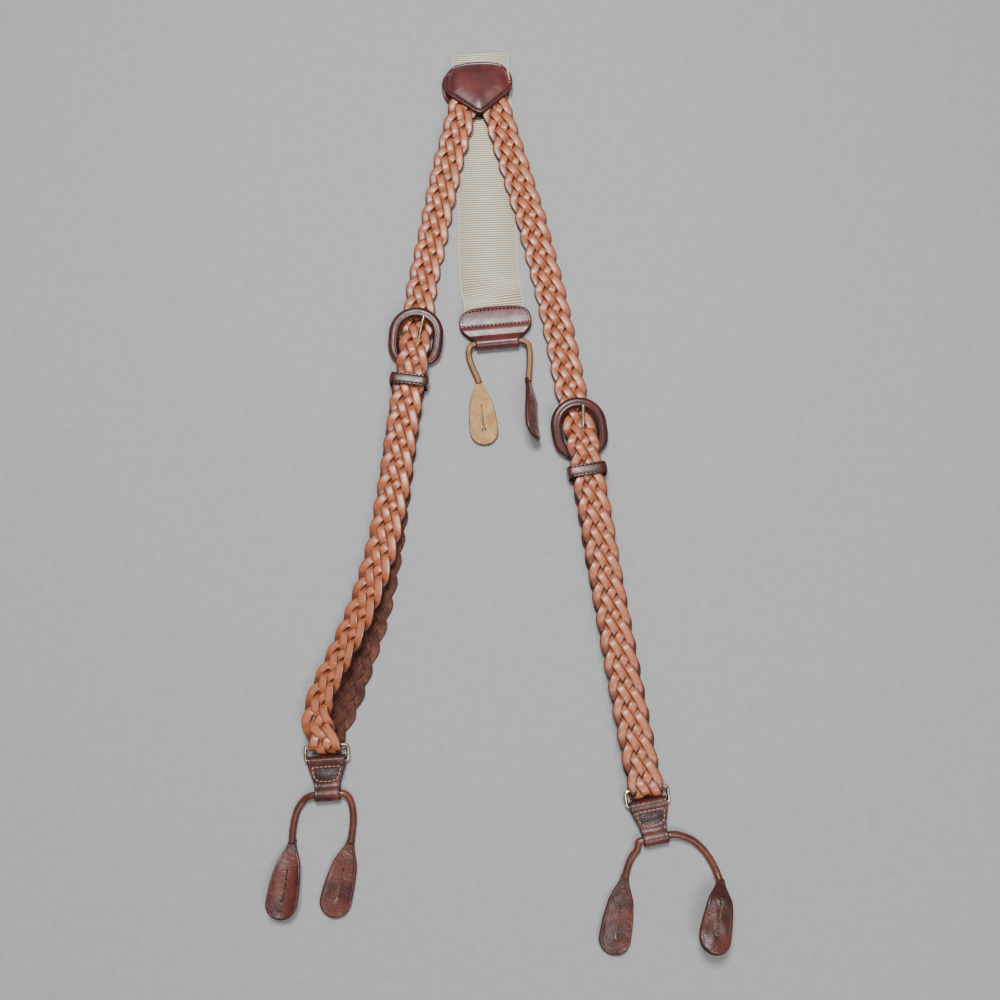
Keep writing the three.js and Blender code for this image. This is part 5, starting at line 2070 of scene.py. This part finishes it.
RIGHT_FRONT = [[0.9, 228, 5.75], [5.1, 213, 5.35], [10.3, 195, 4.4], [15.3, 177, 4], [20.4, 159, 4],
               [25, 140, 2], [29.3, 122, 2], [33, 105, 2], [36.3, 88, 2], [39.9, 68, 2], [43.2, 48, 3],
               [45.7, 33, 3.7],
               [47.2, 25.5, 3.8], [48.5, 17.5, 5.4], [50.1, 8.5, 9.1], [51.1, 2, 9.1], [52, -3, 7.6],
               [52.5, -7, 7.4], [53, -10.9, 7.4], [55.6, -27, 7.4], [58.2, -43, 7.4], [60.6, -60, 6.4],
               [63, -77, 6.1], [68.1, -112, 6.1], [73.4, -146, 6.2], [77.8, -173, 7.2], [80.3, -187, 8.2]]
RIGHT_BACK = [[80.8, -187, 2], [79, -173, 2], [74.6, -146, 2], [69.2, -112, 2], [63.4, -77, 2],
              [60.5, -61, 2.3], [58, -43, 3.5], [55.5, -27, 3.5], [53, -10.9, 3.5], [52.1, -6, 3.5, 0, 0.9],
              [51.2, -0.6, 3.6, 0, 0.66]]


def build_cords(finishes: Finishes) -> None:
    """The three rolled cords.

    Args:
        finishes: the materials.
    """
    rear = RolledCord("rear_rolled_end", "rear_cord", "rear_rolled_cord", REAR_CORD)
    rear.build(finishes.suede_cord, Slot.SUEDE)
    for side, knots in (("left", LEFT_CORD), ("right", RIGHT_CORD)):
        cord = RolledCord(f"rolled_end_{side}", f"cord_{side}", f"rolled_cord_{side}", knots)
        cord.build(finishes.rolled, Slot.ROLLED)


def build_tabs(finishes: Finishes) -> None:
    """The six button tabs.

    Args:
        finishes: the materials.
    """
    tabs = [
        (ButtonTab("rear_paddle_left", "rear_tab_left", "rear_button_tab_left", Place(-12.3, 45.8, 1.3, 6.3),
                   crumple=0.1, seed=1, hole=1.25), finishes.suede, Slot.SUEDE),
        (ButtonTab("rear_paddle_right", "rear_tab_right", "rear_button_tab_right",
                   Place(18, 45.8, 6, 6.4, 8, 68), cup=-1.2, wave=0.6, crumple=0.9, seed=2),
         finishes.rolled, Slot.TAB),
        (ButtonTab("paddle_left_outer", "tab_left_outer", "button_tab_left_outer",
                   Place(-114.4, -224, 1.5, -6.3, 5), cup=2.6, curl=0.8, crumple=0.5, seed=3),
         finishes.tab, Slot.TAB),
        (ButtonTab("paddle_left_inner", "tab_left_inner", "button_tab_left_inner",
                   Place(-82.3, -223.8, 1.3, -12.8), cup=0.5, crumple=0.8, seed=4), finishes.tab, Slot.TAB),
        (ButtonTab("paddle_right_outer", "tab_right_outer", "button_tab_right_outer",
                   Place(121.2, -244.3, 4, -12.6, 30), cup=-1.6, curl=-9, wave=1.8, crumple=1.2, seed=5,
                   length=36.0),
         finishes.tab, Slot.TAB),
        (ButtonTab("paddle_right_inner", "tab_right_inner", "button_tab_right_inner",
                   Place(69.1, -242.5, 1.3, -11.8), cup=0.9, crumple=0.8, seed=6), finishes.tab, Slot.TAB),
    ]
    for tab, material, slot in tabs:
        tab.build(material, slot)


def build_side(side: str, finishes: Finishes, plait: bpy.types.NodeTree, sewing: Sewing) -> None:
    """Everything that hangs from one strap above its rolled cord.

    Args:
        side: "left" or "right".
        finishes: the materials.
        plait: the node tree of the braid.
        sewing: takes the stitch lines.
    """
    if side == "left":
        strap = Strap("left", Place(-26.2, 228, 5.75, -12.9), LEFT_FRONT, LEFT_BACK,
                      Place(-97.6, -171, 5.1, 2), 2, 0.9, 0.0)
        buckle, keeper = Place(-51.5, 76.7, 6.297, -5, -10.5), Place(-55.1, 46.4, 0, -6.5)
        ring, tab = Place(-97, -171, 5.1, 2, RING_TILT), LEFT_END
    else:
        strap = Strap("right", Place(0.9, 228, 5.75, 15.6), RIGHT_FRONT, RIGHT_BACK, RIGHT_BAR, 8, 1.0, 0.35)
        buckle, keeper = Place(48.5, 17.5, 6.297, 9.2, -10.5), Place(53, -10.9, 0, 9.2)
        ring, tab = replace(RIGHT_BAR, pitch=RING_TILT), RIGHT_END
    strap.build(finishes, plait)
    Buckle(side, buckle).build(finishes)
    Keeper(side, keeper).build(finishes, sewing)
    Ring(side, ring).build(finishes)
    EndTab(side, tab).build(finishes, sewing)


def main() -> None:
    """Builds the studio, the cords and then every other piece."""
    logging.basicConfig(level=logging.INFO, format="%(name)s: %(message)s")
    Studio().build()
    finishes = Finishes()
    build_cords(finishes)
    build_tabs(finishes)
    sewing = Sewing(SpacedTree("StitchRun", 6, 4, across=False).tree)
    plait = PlaitTree().tree
    Yoke(Place(-12.4, 232.8, 0, 3.5)).build(finishes, sewing)
    Elastic(REAR, FOLD).build(finishes, SpacedTree("RibRun", 10, 1, across=True).tree)
    RearPatch(REAR).build(finishes, sewing)
    for side in ("left", "right"):
        build_side(side, finishes, plait, sewing)
    for piece in sewing.sew(finishes):
        LOG.info("%s: %d faces of thread", piece.name, len(piece.data.polygons))


if __name__ == "__main__":
    main()
